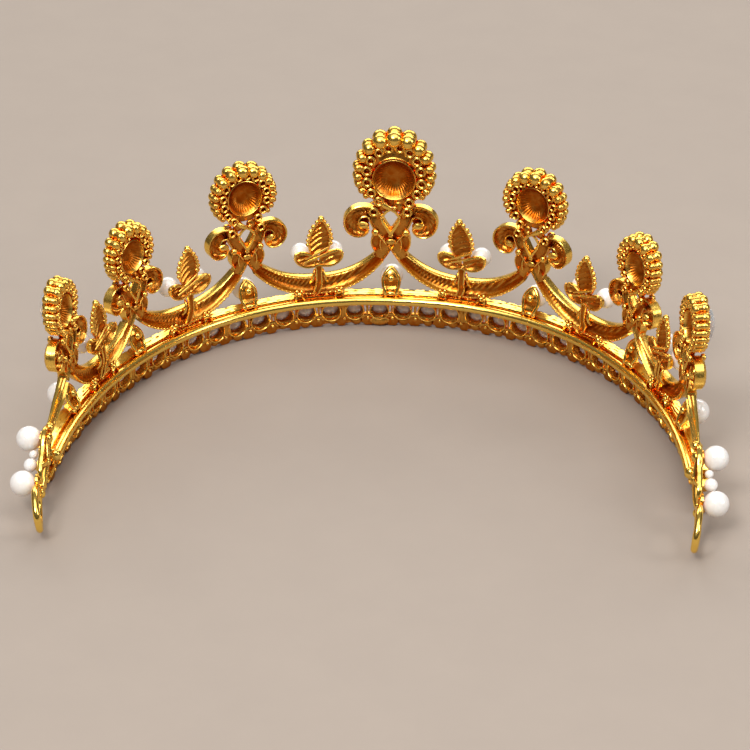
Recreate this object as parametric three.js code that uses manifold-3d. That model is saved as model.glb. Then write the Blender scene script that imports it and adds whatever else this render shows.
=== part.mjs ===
// Pearl tiara: a gold plated cast frame in baroque style, open at the back.
// Units are millimetres, +Z is up, the front of the tiara faces -Y and the two
// open ends point to +Y. The wearer's left hand side is +X.
import * as THREE from 'three';
import { mergeVertices } from 'three/addons/utils/BufferGeometryUtils.js';
import Module from 'manifold-3d';

const wasm = await Module();
wasm.setup();

// ---------------------------------------------------------------- dimensions
const HALF_WIDTH = 73;        // plan half width of the smooth inner rail
const PLAN_DEPTH = 85.24;     // plan depth from the widest point to the front
const PLAN_EXPONENT = 2.1595; // roundness of the plan curve, 2 is an ellipse
const FLARE = 0.0475;         // outward lean of everything, mm per mm of height

const RAIL_Z = 8.0;           // height of the rail's centre line
const RAIL_R = 1.1;           // radius of the smooth round rail
const LEDGE_TOP = 9.3;        // top of the flat ledge behind the rail
const LEDGE_W = 4.2;          // outer edge of the ledge
const RAIL_END = 116.5;       // arc length from the front centre to the rail's end

const GALLERY_END = 121.0;    // arc length from the front centre to the gallery's end
const GALLERY_TOP = 7.6;
const GALLERY_IN = 1.4;       // inner face of the gallery strip
const GALLERY_OUT = 4.4;      // outer edge of its two flanges
const GALLERY_WEB = 2.9;      // outer face of its pierced web
const WINDOW_R = 1.75;        // round window behind each band stone
const WINDOW_Z = 4.5;
const STONE_PITCH = 6.0;      // distance from stone to stone along the band
const STONES_PER_SIDE = 19;

const ARCS = [0, 35.69, 69.06, 98.16];        // arc length of medallions 0 to 3
const HUB_Z = [24.3, 23.6, 21.8, 22.7];       // height of the crossing of the scrolls
const CUP_Z = [42.0, 39.5, 35.7, 36.2];       // height of the middle of the oval cup
const CUP_SCALE = [1.0, 0.83, 0.75, 0.69];    // size of each medallion
const BRACKET_SCALE = [1.0, 0.9, 0.82, 0.84]; // size of its scrolls
const CUP_A = 5.0;            // oval cup, half width
const CUP_B = 5.7;            // oval cup, half height
const CUP_DEPTH = 2.0;
const PLATE_IN = 0.8;         // inner and outer face of medallions
const PLATE_OUT = 3.4;

const SWAG_MID_Z = 12.45;     // centre line of a swag at its lowest point
const SWAG_HALF = 2.5;        // half height of a swag in the middle
const SWAG_END_HALF = 1.5;    // half height where it meets a medallion bracket
const SWAG_IN = 0.85;
const SWAG_OUT = 3.4;
const SWAG_POWER = 2.4;       // how suddenly a swag turns up towards the brackets

const SPRIG_ARCS = [17.85, 52.38, 83.8];
const SPRIG_TIP_Z = [31.8, 31.4, 31.1];
const SPRIG_PEARL_Z = 20.6;
const SPRIG_PEARL_R = 2.5;
const PEARL_R = 2.95;
const PEARL_SPACING = 3.9;    // each sprig pearl to the sprig's middle line
const SPRIG_PEARL_W = 3.7;

const BAND_PEARL_Z = 12.85;
const BAND_PEARL_W = 4.75;

const LOOP_ARC = 135.6;       // middle of the terminal loop
const LOOP_Z = 6.2;
const LOOP_A = 5.5;           // half length and half height of the loop's wire line
const LOOP_B = 4.2;
const LOOP_WIRE = 0.95;

const GOLD = new THREE.Color(0.83, 0.56, 0.16);
const gold = () => new THREE.MeshStandardMaterial({ color: GOLD, roughness: 0.24, metalness: 1.0 });
const pearlMat = () => new THREE.MeshStandardMaterial({ color: new THREE.Color(0.93, 0.89, 0.85), roughness: 0.22, metalness: 0.0 });
const crystalMat = () => new THREE.MeshStandardMaterial({ color: new THREE.Color(0.86, 0.88, 0.90), roughness: 0.05, metalness: 0.0 });

// ----------------------------------------------------------------- plan curve
// Superellipse sampled by angle, then read back by arc length s. s is 0 at the
// front centre and grows towards +X.
const planX = [], planY = [], planS = [];
{
  const n = 8000, lim = 1.98;
  for (let i = 0; i <= n; i++) {
    const t = -lim + 2 * lim * i / n, s = Math.sin(t), c = Math.cos(t), e = 2 / PLAN_EXPONENT;
    planX.push(HALF_WIDTH * Math.sign(s) * Math.abs(s) ** e);
    planY.push(-PLAN_DEPTH * Math.sign(c) * Math.abs(c) ** e);
    planS.push(i === 0 ? 0 : planS[i - 1] + Math.hypot(planX[i] - planX[i - 1], planY[i] - planY[i - 1]));
  }
  const mid = planS[n / 2];
  for (let i = 0; i <= n; i++) planS[i] -= mid;
}
function planPoint(s) {
  let lo = 0, hi = planS.length - 1;
  while (hi - lo > 1) { const m = (lo + hi) >> 1; if (planS[m] <= s) lo = m; else hi = m; }
  const f = (s - planS[lo]) / (planS[hi] - planS[lo]);
  return [planX[lo] + f * (planX[hi] - planX[lo]), planY[lo] + f * (planY[hi] - planY[lo])];
}
function planNormal(s) {
  const a = planPoint(s + 1.5), b = planPoint(s - 1.5);
  const dx = a[0] - b[0], dy = a[1] - b[1], l = Math.hypot(dx, dy);
  return [dy / l, -dx / l];
}
// (arc length, height, outward offset) to space
function wrap(s, z, w) {
  const p = planPoint(s), n = planNormal(s), o = w + FLARE * (z - RAIL_Z);
  return [p[0] + n[0] * o, p[1] + n[1] * o, z];
}

// ------------------------------------------------------------ solid builders
function solid(points, faces) {
  let v = 0;
  for (const [a, b, c] of faces) {
    const A = points[a], B = points[b], C = points[c];
    v += A[0] * (B[1] * C[2] - B[2] * C[1]) - A[1] * (B[0] * C[2] - B[2] * C[0]) + A[2] * (B[0] * C[1] - B[1] * C[0]);
  }
  const idx = [];
  for (const [a, b, c] of faces) v > 0 ? idx.push(a, b, c) : idx.push(a, c, b);
  const g = new THREE.BufferGeometry();
  g.setAttribute('position', new THREE.Float32BufferAttribute(points.flat(), 3));
  g.setIndex(idx);
  return g;
}
const v2 = (p) => new THREE.Vector2(p[0], p[1]);

// Joins equal sections one after the other; capFaces triangulates the two ends.
function loft(rings, section2d, closed = false) {
  const n = rings[0].length, pts = rings.flat(), faces = [], m = rings.length;
  const last = closed ? m : m - 1;
  for (let i = 0; i < last; i++) {
    const a = i * n, b = ((i + 1) % m) * n;
    for (let j = 0; j < n; j++) {
      const k = (j + 1) % n;
      faces.push([a + j, b + j, b + k], [a + j, b + k, a + k]);
    }
  }
  if (!closed) {
    const flip = THREE.ShapeUtils.isClockWise(section2d.map(v2));
    const order = section2d.map((_, i) => (flip ? n - 1 - i : i));
    const tris = THREE.ShapeUtils.triangulateShape(order.map((i) => v2(section2d[i])), []);
    const e = (m - 1) * n;
    for (const [a, b, c] of tris) {
      const t = [order[a], order[b], order[c]];
      if (!flip) { faces.push([t[2], t[1], t[0]].reverse(), [e + t[2], e + t[1], e + t[0]]); }
      else { faces.push([t[2], t[1], t[0]], [e + t[0], e + t[1], e + t[2]]); }
    }
    fixCaps(faces, m, n, tris.length);
  }
  return solid(pts, faces);
}
// Makes each cap agree with the side faces it shares edges with.
function fixCaps(faces, m, n, capCount) {
  const start = faces.length - capCount * 2;
  const edges = new Set();
  for (let i = 0; i < start; i++) {
    const f = faces[i];
    for (let k = 0; k < 3; k++) edges.add(f[k] + '_' + f[(k + 1) % 3]);
  }
  for (const side of [0, 1]) {
    let bad = false;
    for (let i = start + side; i < faces.length; i += 2) {
      const f = faces[i];
      for (let k = 0; k < 3; k++) if (edges.has(f[k] + '_' + f[(k + 1) % 3])) bad = true;
    }
    if (bad) for (let i = start + side; i < faces.length; i += 2) faces[i].reverse();
  }
}
// Flat outline in (u, v), with holes, between offsets w0 and w1, wrapped on the plan.
function plate(outline, holes, w0, w1, s0, z0) {
  const fix = (c, cw) => (THREE.ShapeUtils.isClockWise(c.map(v2)) === cw ? c : [...c].reverse());
  const out = fix(outline, false), hs = holes.map((h) => fix(h, true));
  const tris = THREE.ShapeUtils.triangulateShape(out.map(v2), hs.map((h) => h.map(v2)));
  const all = [...out, ...hs.flat()], N = all.length, pts = [], faces = [];
  for (const w of [w0, w1]) for (const [u, v] of all) pts.push(wrap(s0 + u, z0 + v, w));
  for (const [a, b, c] of tris) { faces.push([a, b, c], [c + N, b + N, a + N]); }
  let base = 0;
  for (const c of [out, ...hs]) {
    const n = c.length;
    for (let i = 0; i < n; i++) {
      const a = base + i, b = base + (i + 1) % n;
      faces.push([b, a, a + N], [b, a + N, b + N]);
    }
    base += n;
  }
  return solid(pts, faces);
}
function toManifold(g) {
  const c = g.clone();
  for (const k of Object.keys(c.attributes)) if (k !== 'position') c.deleteAttribute(k);
  const m = mergeVertices(c, 1e-4);
  return new wasm.Manifold(new wasm.Mesh({
    numProp: 3,
    vertProperties: new Float32Array(m.attributes.position.array),
    triVerts: new Uint32Array(m.index.array),
  }));
}
function fromManifold(man) {
  const m = man.getMesh(), g = new THREE.BufferGeometry();
  g.setAttribute('position', new THREE.BufferAttribute(new Float32Array(m.vertProperties), 3));
  g.setIndex(new THREE.BufferAttribute(new Uint32Array(m.triVerts), 1));
  return g;
}
const join = (...gs) => gs.map(toManifold).reduce((a, b) => a.add(b));
const oval = (a, b, n, v0 = 0, ph = 0) => Array.from({ length: n }, (_, i) => {
  const t = ph + 2 * Math.PI * i / n;
  return [a * Math.cos(t), v0 + b * Math.sin(t)];
});

const crown = new THREE.Group();
function add(name, geometry, material, position) {
  const g = geometry;
  g.computeVertexNormals();
  const mesh = new THREE.Mesh(g, material);
  mesh.name = name;
  if (position) mesh.position.set(...position);
  crown.add(mesh);
}
const SIDES = [['left', 1], ['right', -1]];

// ------------------------------------------------------------------ the band
// Smooth round rail with a small groove and a flat ledge, one swept casting,
// and a little arched seat on the ledge for each of the seven band pearls.
{
  const profile = [
    [-1.1, 8.0], [-0.78, 8.78], [0, 9.1], [0.78, 8.78], [1.05, 8.5], [1.25, 8.5], [1.3, LEDGE_TOP],
    [LEDGE_W, LEDGE_TOP], [LEDGE_W, 7.95], [1.2, 7.95], [0.78, 7.22], [0, RAIL_Z - RAIL_R], [-0.78, 7.22],
  ];
  const n = 40, rings = [];
  for (let i = 0; i <= n; i++) {
    const s = -RAIL_END + 2 * RAIL_END * i / n;
    rings.push(profile.map(([w, z]) => wrap(s, z, w)));
  }
  let rail = toManifold(loft(rings, profile));
  const seat = [[-1.7, 9.0], [1.7, 9.0], [2.2, 11.0], [1.5, 13.0], [0, 14.3], [-1.5, 13.0], [-2.2, 11.0]];
  for (const sign of [1, -1]) {
    for (let i = 0; i < 4; i++) {
      if (i === 0 && sign < 0) continue;
      rail = rail.add(toManifold(plate(seat, [], 0.85, 1.5, sign * ARCS[i], 0)));
    }
  }
  add('band_rail', fromManifold(rail), gold());
}
// Pierced gallery under the ledge: a channel with a round window behind each stone.
{
  const profile = [
    [GALLERY_IN, 0], [GALLERY_OUT, 0], [GALLERY_OUT, 1.2], [GALLERY_WEB, 1.2],
    [GALLERY_WEB, 6.4], [GALLERY_OUT, 6.4], [GALLERY_OUT, GALLERY_TOP], [GALLERY_IN, GALLERY_TOP],
  ];
  const n = 20, rings = []; // the strip bends between windows, never across one
  for (let i = -n; i <= n; i++) {
    const s = Math.abs(i) === n ? Math.sign(i) * GALLERY_END : i * STONE_PITCH;
    rings.push(profile.map(([w, z]) => wrap(s, z, w)));
  }
  let gallery = toManifold(loft(rings, profile));
  let cutters = null;
  for (let k = -STONES_PER_SIDE; k < STONES_PER_SIDE; k++) {
    const s = (k + 0.5) * STONE_PITCH;
    const c = toManifold(plate(oval(WINDOW_R, WINDOW_R, 6), [], GALLERY_IN - 0.6, GALLERY_WEB + 0.5, s, WINDOW_Z));
    cutters = cutters ? cutters.add(c) : c;
  }
  gallery = gallery.subtract(cutters);
  add('band_gallery', fromManifold(gallery), gold());
}
// Row of clear stones set in the channel, carried on one cup chain strip.
{
  const big = [[3.2, 2.7], [4.5, 2.7], [5.2, 3.6], [5.2, 5.3], [4.5, 6.2], [3.2, 6.2]];
  const small = [[3.2, 3.4], [3.6, 3.4], [3.85, 4.0], [3.85, 5.0], [3.6, 5.6], [3.2, 5.6]];
  const rings = [], count = STONES_PER_SIDE * 4 - 1;
  for (let i = 0; i < count; i++) {
    const s = (i - (count - 1) / 2) * STONE_PITCH / 2;
    const prof = i % 2 === 0 ? big : small;
    rings.push(prof.map(([w, z]) => wrap(s, z, w)));
  }
  add('band_stones', loft(rings, big), crystalMat());
}

// ---------------------------------------------------------------- medallions
// Lyre shaped bracket: crossing arms with a lozenge opening and a scroll each side.
const HALF_BRACKET = [
  [1.9, -5.9], [4.1, -3.85], [4.8, -1.4], [4.3, 0.8], [4.7, 2.4], [4.0, 3.7], [4.2, 5.7], [4.8, 6.2],
  [5.4, 5.2], [5.3, 3.2], [6.2, 1.5], [8.5, 1.1], [10.5, 2.4],
  [11.3, 4.7], [10.9, 7.2], [9.2, 9.1], [6.8, 9.7], [4.6, 9.6],
];
const LOZENGE = [[0, 2.8], [2.15, 6.4], [0, 8.6], [-2.15, 6.4]];
function medallion(s0, i) {
  const k = CUP_SCALE[i], q = BRACKET_SCALE[i], hub = HUB_Z[i], cup = CUP_Z[i];
  const half = HALF_BRACKET.map(([u, v]) => [u * q, v * q]);
  const outline = [[0, -2.9 * q], ...half, [0, 10.4 * q], ...[...half].reverse().map(([u, v]) => [-u, v])];
  const bracket = plate(outline, [LOZENGE.map(([u, v]) => [u * q, v * q])], PLATE_IN, PLATE_OUT, s0, hub);
  // Rim of the medallion: lobes for the 13 beads over the top, smaller at the foot.
  const rim = [];
  const lobes = 16, per = 2;
  for (let j = 0; j < lobes * per; j++) {
    const t = 2 * Math.PI * (j / (lobes * per)); // from the top, clockwise
    const low = Math.max(0, (t > Math.PI ? 2 * Math.PI - t : t) - 2.05);
    const fade = Math.max(0, 1 - low / 0.35);
    const bump = j % 2 === 0 ? 0.5 : -0.5;
    const tall = i === 0 ? 11.75 : 10.7, up = Math.cos(t) > 0 ? tall : 9.4;
    const a = 8.0 + fade * (2.0 + bump * 0.6 + 0.15 * Math.cos(t));
    const b = Math.cos(t) > 0 ? tall + bump * 1.1 : 8.9 + fade * (0.9 + bump * 0.5);
    rim.push([k * a * Math.sin(t), k * Math.min(b, up + 1) * Math.cos(t)]);
  }
  const dish = plate(rim, [], PLATE_IN - 0.2, PLATE_OUT, s0, cup);
  const recess = plate(oval(CUP_A * k, CUP_B * k, 12), [], PLATE_IN - 1.2, PLATE_IN - 0.2 + CUP_DEPTH, s0, cup);
  return fromManifold(toManifold(bracket).add(toManifold(dish)).subtract(toManifold(recess)));
}
// Oval crystal on the front of the medallion.
function crystal(s0, i) {
  const k = CUP_SCALE[i], z0 = CUP_Z[i], rings = [], n = 12;
  const steps = [[1.0, PLATE_OUT + 0.3], [1.0, PLATE_OUT + 1.0], [0.62, PLATE_OUT + 2.2]];
  for (const [f, w] of steps) rings.push(oval(CUP_A * k * f, CUP_B * k * f, n).map(([u, v]) => wrap(s0 + u, z0 + v, w)));
  return loft(rings, oval(CUP_A, CUP_B, n));
}
const medallionList = [['center', 1, 0]];
for (const [side, sign] of SIDES) for (let i = 1; i <= 3; i++) medallionList.push([`${side}_${i}`, sign, i]);
for (const [label, sign, i] of medallionList) {
  const s0 = sign * ARCS[i];
  add(`medallion_${label}`, medallion(s0, i), gold());
  add(`medallion_stone_${label}`, crystal(s0, i), crystalMat());
}

// --------------------------------------------------------------------- swags
// Hollow backed crescent: a channel open to the inside, with a wide top flange.
function channel(h, s, z, du, dv, out = SWAG_OUT) {
  // du, dv is the unit direction across the swag, in (s, z); out is its front face
  const wall = (out - SWAG_IN) * 0.3, lip = (out - SWAG_IN) * 0.28;
  const pts = [
    [h, SWAG_IN], [h, out], [-h, out], [-h, SWAG_IN + lip],
    [-h + 0.75, SWAG_IN + lip], [-h + 0.75, out - wall], [h - 0.95, out - wall], [h - 0.95, SWAG_IN],
  ];
  return pts.map(([a, w]) => wrap(s + du * a, z + dv * a, w));
}
const CHANNEL_2D = [[1, 0], [1, 3], [-1, 3], [-1, 0.7], [-0.5, 0.7], [-0.5, 2], [0.5, 2], [0.5, 0]];
function swag(sa, ia, sb, ib, sign) {
  // from medallion ia at arc sa to medallion ib at arc sb, sa < sb, measured on one side
  const n = 12, mid = (sa + sb) / 2, rings = [];
  const ends = [[sa, ia], [sb, ib]].map(([s, i]) => {
    const q = BRACKET_SCALE[i], dir = s < mid ? 1 : -1;
    return { s: s + dir * 3.22 * q, z: HUB_Z[i] - 5.1 * q };
  });
  for (let j = 0; j <= n; j++) {
    const s = ends[0].s + (ends[1].s - ends[0].s) * j / n;
    const e = s < mid ? ends[0] : ends[1];
    const x = Math.abs(s - mid) / Math.abs(e.s - mid);
    const z = SWAG_MID_Z + (e.z - SWAG_MID_Z) * x ** SWAG_POWER;
    const slope = SWAG_POWER * (e.z - SWAG_MID_Z) * x ** (SWAG_POWER - 1) / Math.abs(e.s - mid) * (s < mid ? -1 : 1);
    const l = Math.hypot(1, slope);
    const h = SWAG_HALF + (SWAG_END_HALF - SWAG_HALF) * x * x;
    rings.push(channel(h, sign * s, z, sign * -slope / l, 1 / l));
  }
  return loft(rings, CHANNEL_2D);
}
for (const [side, sign] of SIDES) {
  for (let i = 0; i < 3; i++) {
    add(`swag_${side}_${i + 1}`, swag(ARCS[i], i, ARCS[i + 1], i + 1, sign), gold());
  }
}
// Last swag on each side: it runs down from the last medallion to a cast end
// plate that carries four pearls and ends beside the terminal loop.
function endSwag(sign) {
  const q = BRACKET_SCALE[3], rings = [];
  const line = [
    [ARCS[3] + 3.5 * q, HUB_Z[3] - 5.1 * q, 1.5, 3.2], [103.6, 16.7, 1.75, 3.0], [107.0, 15.6, 1.7, 2.7],
    [110.5, 14.7, 1.6, 2.35], [114.0, 14.1, 1.5, 2.05], [118.0, 13.6, 1.4, 1.95],
  ];
  for (let j = 0; j < line.length; j++) {
    const a = line[Math.max(0, j - 1)], b = line[Math.min(line.length - 1, j + 1)];
    const dx = b[0] - a[0], dz = b[1] - a[1], l = Math.hypot(dx, dz);
    rings.push(channel(line[j][2], sign * line[j][0], line[j][1], sign * -dz / l, dx / l, line[j][3]));
  }
  const arm = loft(rings, CHANNEL_2D);
  const outline = [
    [115.4, 12.4], [115.4, 15.6], [118.2, 17.0], [121.2, 16.4], [123.4, 14.2], [126.0, 12.9],
    [128.6, 11.2], [129.0, 7.8], [128.4, 5.4], [126.4, 4.9], [124.2, 6.2], [122.4, 8.4], [118.4, 9.9],
  ].map(([u, v]) => [sign * u, v]);
  return fromManifold(join(arm, plate(outline, [], 0.8, 1.95, 0, 0)));
}
for (const [side, sign] of SIDES) add(`end_swag_${side}`, endSwag(sign), gold());

// -------------------------------------------------------------------- sprigs
// Leaf with a ball tip on two cupped arms, and a stem down the inside of the swag.
function sprig(s0, tip) {
  const top = tip - 31.8;
  const half = [
    [0.8, 15.3], [1.0, 17.4], [3.2, 17.1], [5.3, 18.2], [6.2, 20.1], [5.3, 21.5], [3.2, 20.9], [1.3, 21.7],
    [2.5, 23.1 + top * 0.5], [3.15, 25.2 + top * 0.6], [2.95, 27.3 + top * 0.8], [2.0, 29.3 + top],
    [0.9, 30.3 + top], [0.85, 31.3 + top],
  ];
  const outline = [...half, [0, tip], ...[...half].reverse().map(([u, v]) => [-u, v])];
  const stem = [[-0.75, 10.0], [0.55, 9.8], [0.9, 12.5], [0.8, 15.6], [-0.8, 15.6], [-0.7, 12.5]];
  return fromManifold(join(
    plate(outline, [], 0, 0.9, s0, 0),
    plate(stem, [], 0, 0.5, s0, 0),
  ));
}
function pearl(name, r, s, z, w) {
  const g = mergeVertices(new THREE.SphereGeometry(r, 10, 7).deleteAttribute('normal').deleteAttribute('uv'), 1e-4);
  g.rotateX(Math.PI / 2);
  add(name, g, pearlMat(), wrap(s, z, w));
}
for (const [side, sign] of SIDES) {
  for (let i = 0; i < 3; i++) {
    const s0 = sign * SPRIG_ARCS[i];
    add(`sprig_${side}_${i + 1}`, sprig(s0, SPRIG_TIP_Z[i]), gold());
    pearl(`sprig_pearl_${side}_${i + 1}_inner`, SPRIG_PEARL_R, s0 - sign * PEARL_SPACING, SPRIG_PEARL_Z, SPRIG_PEARL_W);
    pearl(`sprig_pearl_${side}_${i + 1}_outer`, SPRIG_PEARL_R, s0 + sign * PEARL_SPACING, SPRIG_PEARL_Z, SPRIG_PEARL_W);
  }
}

// --------------------------------------------------------------- band pearls
for (const [label, sign, i] of medallionList) {
  pearl(`band_pearl_${label}`, PEARL_R, sign * ARCS[i], BAND_PEARL_Z, BAND_PEARL_W);
}

// ------------------------------------------------------- end pearls and loops
for (const [side, sign] of SIDES) {
  pearl(`end_pearl_${side}_upper`, PEARL_R, sign * 118.6, 13.6, 5.25);
  pearl(`end_pearl_${side}_small`, 1.0, sign * 122.3, 11.85, 3.6);
  pearl(`end_pearl_${side}_medium`, 1.55, sign * 124.75, 10.6, 4.0);
  pearl(`end_pearl_${side}_lower`, PEARL_R, sign * 129.1, 8.5, 5.25);
}
for (const [side, sign] of SIDES) {
  const n = 22, m = 6, rings = [];
  for (let i = 0; i < n; i++) {
    const t = 2 * Math.PI * i / n, ring = [];
    const nu = LOOP_B * Math.cos(t), nv = LOOP_A * Math.sin(t), l = Math.hypot(nu, nv);
    for (let j = 0; j < m; j++) {
      const p = 2 * Math.PI * j / m;
      const r = LOOP_WIRE * Math.cos(p), o = LOOP_WIRE * Math.sin(p);
      ring.push(wrap(sign * (LOOP_ARC + LOOP_A * Math.cos(t) + r * nu / l), LOOP_Z + LOOP_B * Math.sin(t) + r * nv / l, 1.35 + o));
    }
    rings.push(ring);
  }
  add(`end_loop_${side}`, loft(rings, null, true), gold());
}

// Origin: middle of the footprint in X and Y, underside of the gallery at Z = 0.
crown.updateMatrixWorld(true);
const box = new THREE.Box3().setFromObject(crown, true);
crown.position.set(-(box.min.x + box.max.x) / 2, -(box.min.y + box.max.y) / 2, 0);
crown.updateMatrixWorld(true);

export default crown;
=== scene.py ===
import math

import bpy
import numpy as np
from mathutils import Matrix, Vector


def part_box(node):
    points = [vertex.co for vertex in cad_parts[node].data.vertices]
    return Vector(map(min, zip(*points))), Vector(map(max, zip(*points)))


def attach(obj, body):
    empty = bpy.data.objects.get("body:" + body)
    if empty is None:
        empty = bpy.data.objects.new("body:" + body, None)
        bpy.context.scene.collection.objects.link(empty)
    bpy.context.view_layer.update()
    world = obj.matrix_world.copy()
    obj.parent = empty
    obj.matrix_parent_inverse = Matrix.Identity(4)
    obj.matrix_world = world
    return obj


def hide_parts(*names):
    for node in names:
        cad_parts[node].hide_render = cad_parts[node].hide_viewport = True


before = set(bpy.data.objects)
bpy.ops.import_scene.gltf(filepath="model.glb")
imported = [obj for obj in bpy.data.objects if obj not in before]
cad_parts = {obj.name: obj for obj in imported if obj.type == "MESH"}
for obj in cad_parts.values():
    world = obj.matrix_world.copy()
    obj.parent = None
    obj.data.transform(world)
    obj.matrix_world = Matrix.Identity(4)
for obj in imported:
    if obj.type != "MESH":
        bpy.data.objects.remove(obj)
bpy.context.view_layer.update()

rng = np.random.default_rng(7)

# ------------------------------------------------------------------ dimensions (mm), as in the CAD
HALF_WIDTH, PLAN_DEPTH, PLAN_EXPONENT, FLARE = 73.0, 85.24, 2.1595, 0.0475
RAIL_Z, RAIL_END, GALLERY_END, LEDGE_TOP = 8.0, 116.5, 121.0, 9.3
PITCH, PER_SIDE, WINDOW_Z = 6.0, 19, 4.5
ARCS = [0, 35.69, 69.06, 98.16]
HUB_Z = [24.3, 23.6, 21.8, 22.7]
CUP_Z = [42.0, 39.5, 35.7, 36.2]
CUP_SCALE = [1.0, 0.83, 0.75, 0.69]
BRACKET_SCALE = [1.0, 0.9, 0.82, 0.84]
SWAG_MID_Z, SWAG_HALF, SWAG_END_HALF, SWAG_POWER = 12.45, 2.5, 1.5, 2.4
SPRIG_ARCS = [17.85, 52.38, 83.8]
SPRIG_TIP_Z = [31.8, 31.4, 31.1]
LOOP_ARC, LOOP_Z, LOOP_A, LOOP_B, LOOP_WIRE = 135.6, 6.2, 5.5, 4.2, 0.95

# ------------------------------------------------------------------ plan curve
_t = np.linspace(-1.98, 1.98, 16001)
_s, _c = np.sin(_t), np.cos(_t)
_X = HALF_WIDTH * np.sign(_s) * np.abs(_s) ** (2 / PLAN_EXPONENT)
_Y = -PLAN_DEPTH * np.sign(_c) * np.abs(_c) ** (2 / PLAN_EXPONENT)
_L = np.concatenate([[0], np.cumsum(np.hypot(np.diff(_X), np.diff(_Y)))])
_L -= np.interp(0, _t, _L)


def plan(s):
    return np.interp(s, _L, _X), np.interp(s, _L, _Y)


def normal(s):
    ax, ay = plan(s + 1.5)
    bx, by = plan(s - 1.5)
    dx, dy = ax - bx, ay - by
    l = np.hypot(dx, dy)
    return dy / l, -dx / l


# the CAD's origin is the middle of its footprint, so the shift is read from a CAD node
_lo, _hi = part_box("band_pearl_center")
Y_SHIFT = (float(_lo[1]) + float(_hi[1])) / 2 * 1000 + PLAN_DEPTH + 4.75 + FLARE * (12.85 - RAIL_Z)


def wrap(V):
    """(arc length, height, outward offset) in mm to metres in the CAD's frame."""
    V = np.asarray(V, float)
    s, z, w = V[..., 0], V[..., 1], V[..., 2]
    px, py = plan(s)
    nx, ny = normal(s)
    o = w + FLARE * (z - RAIL_Z)
    return np.stack([px + nx * o, py + ny * o + Y_SHIFT, z], -1) / 1000.0


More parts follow.
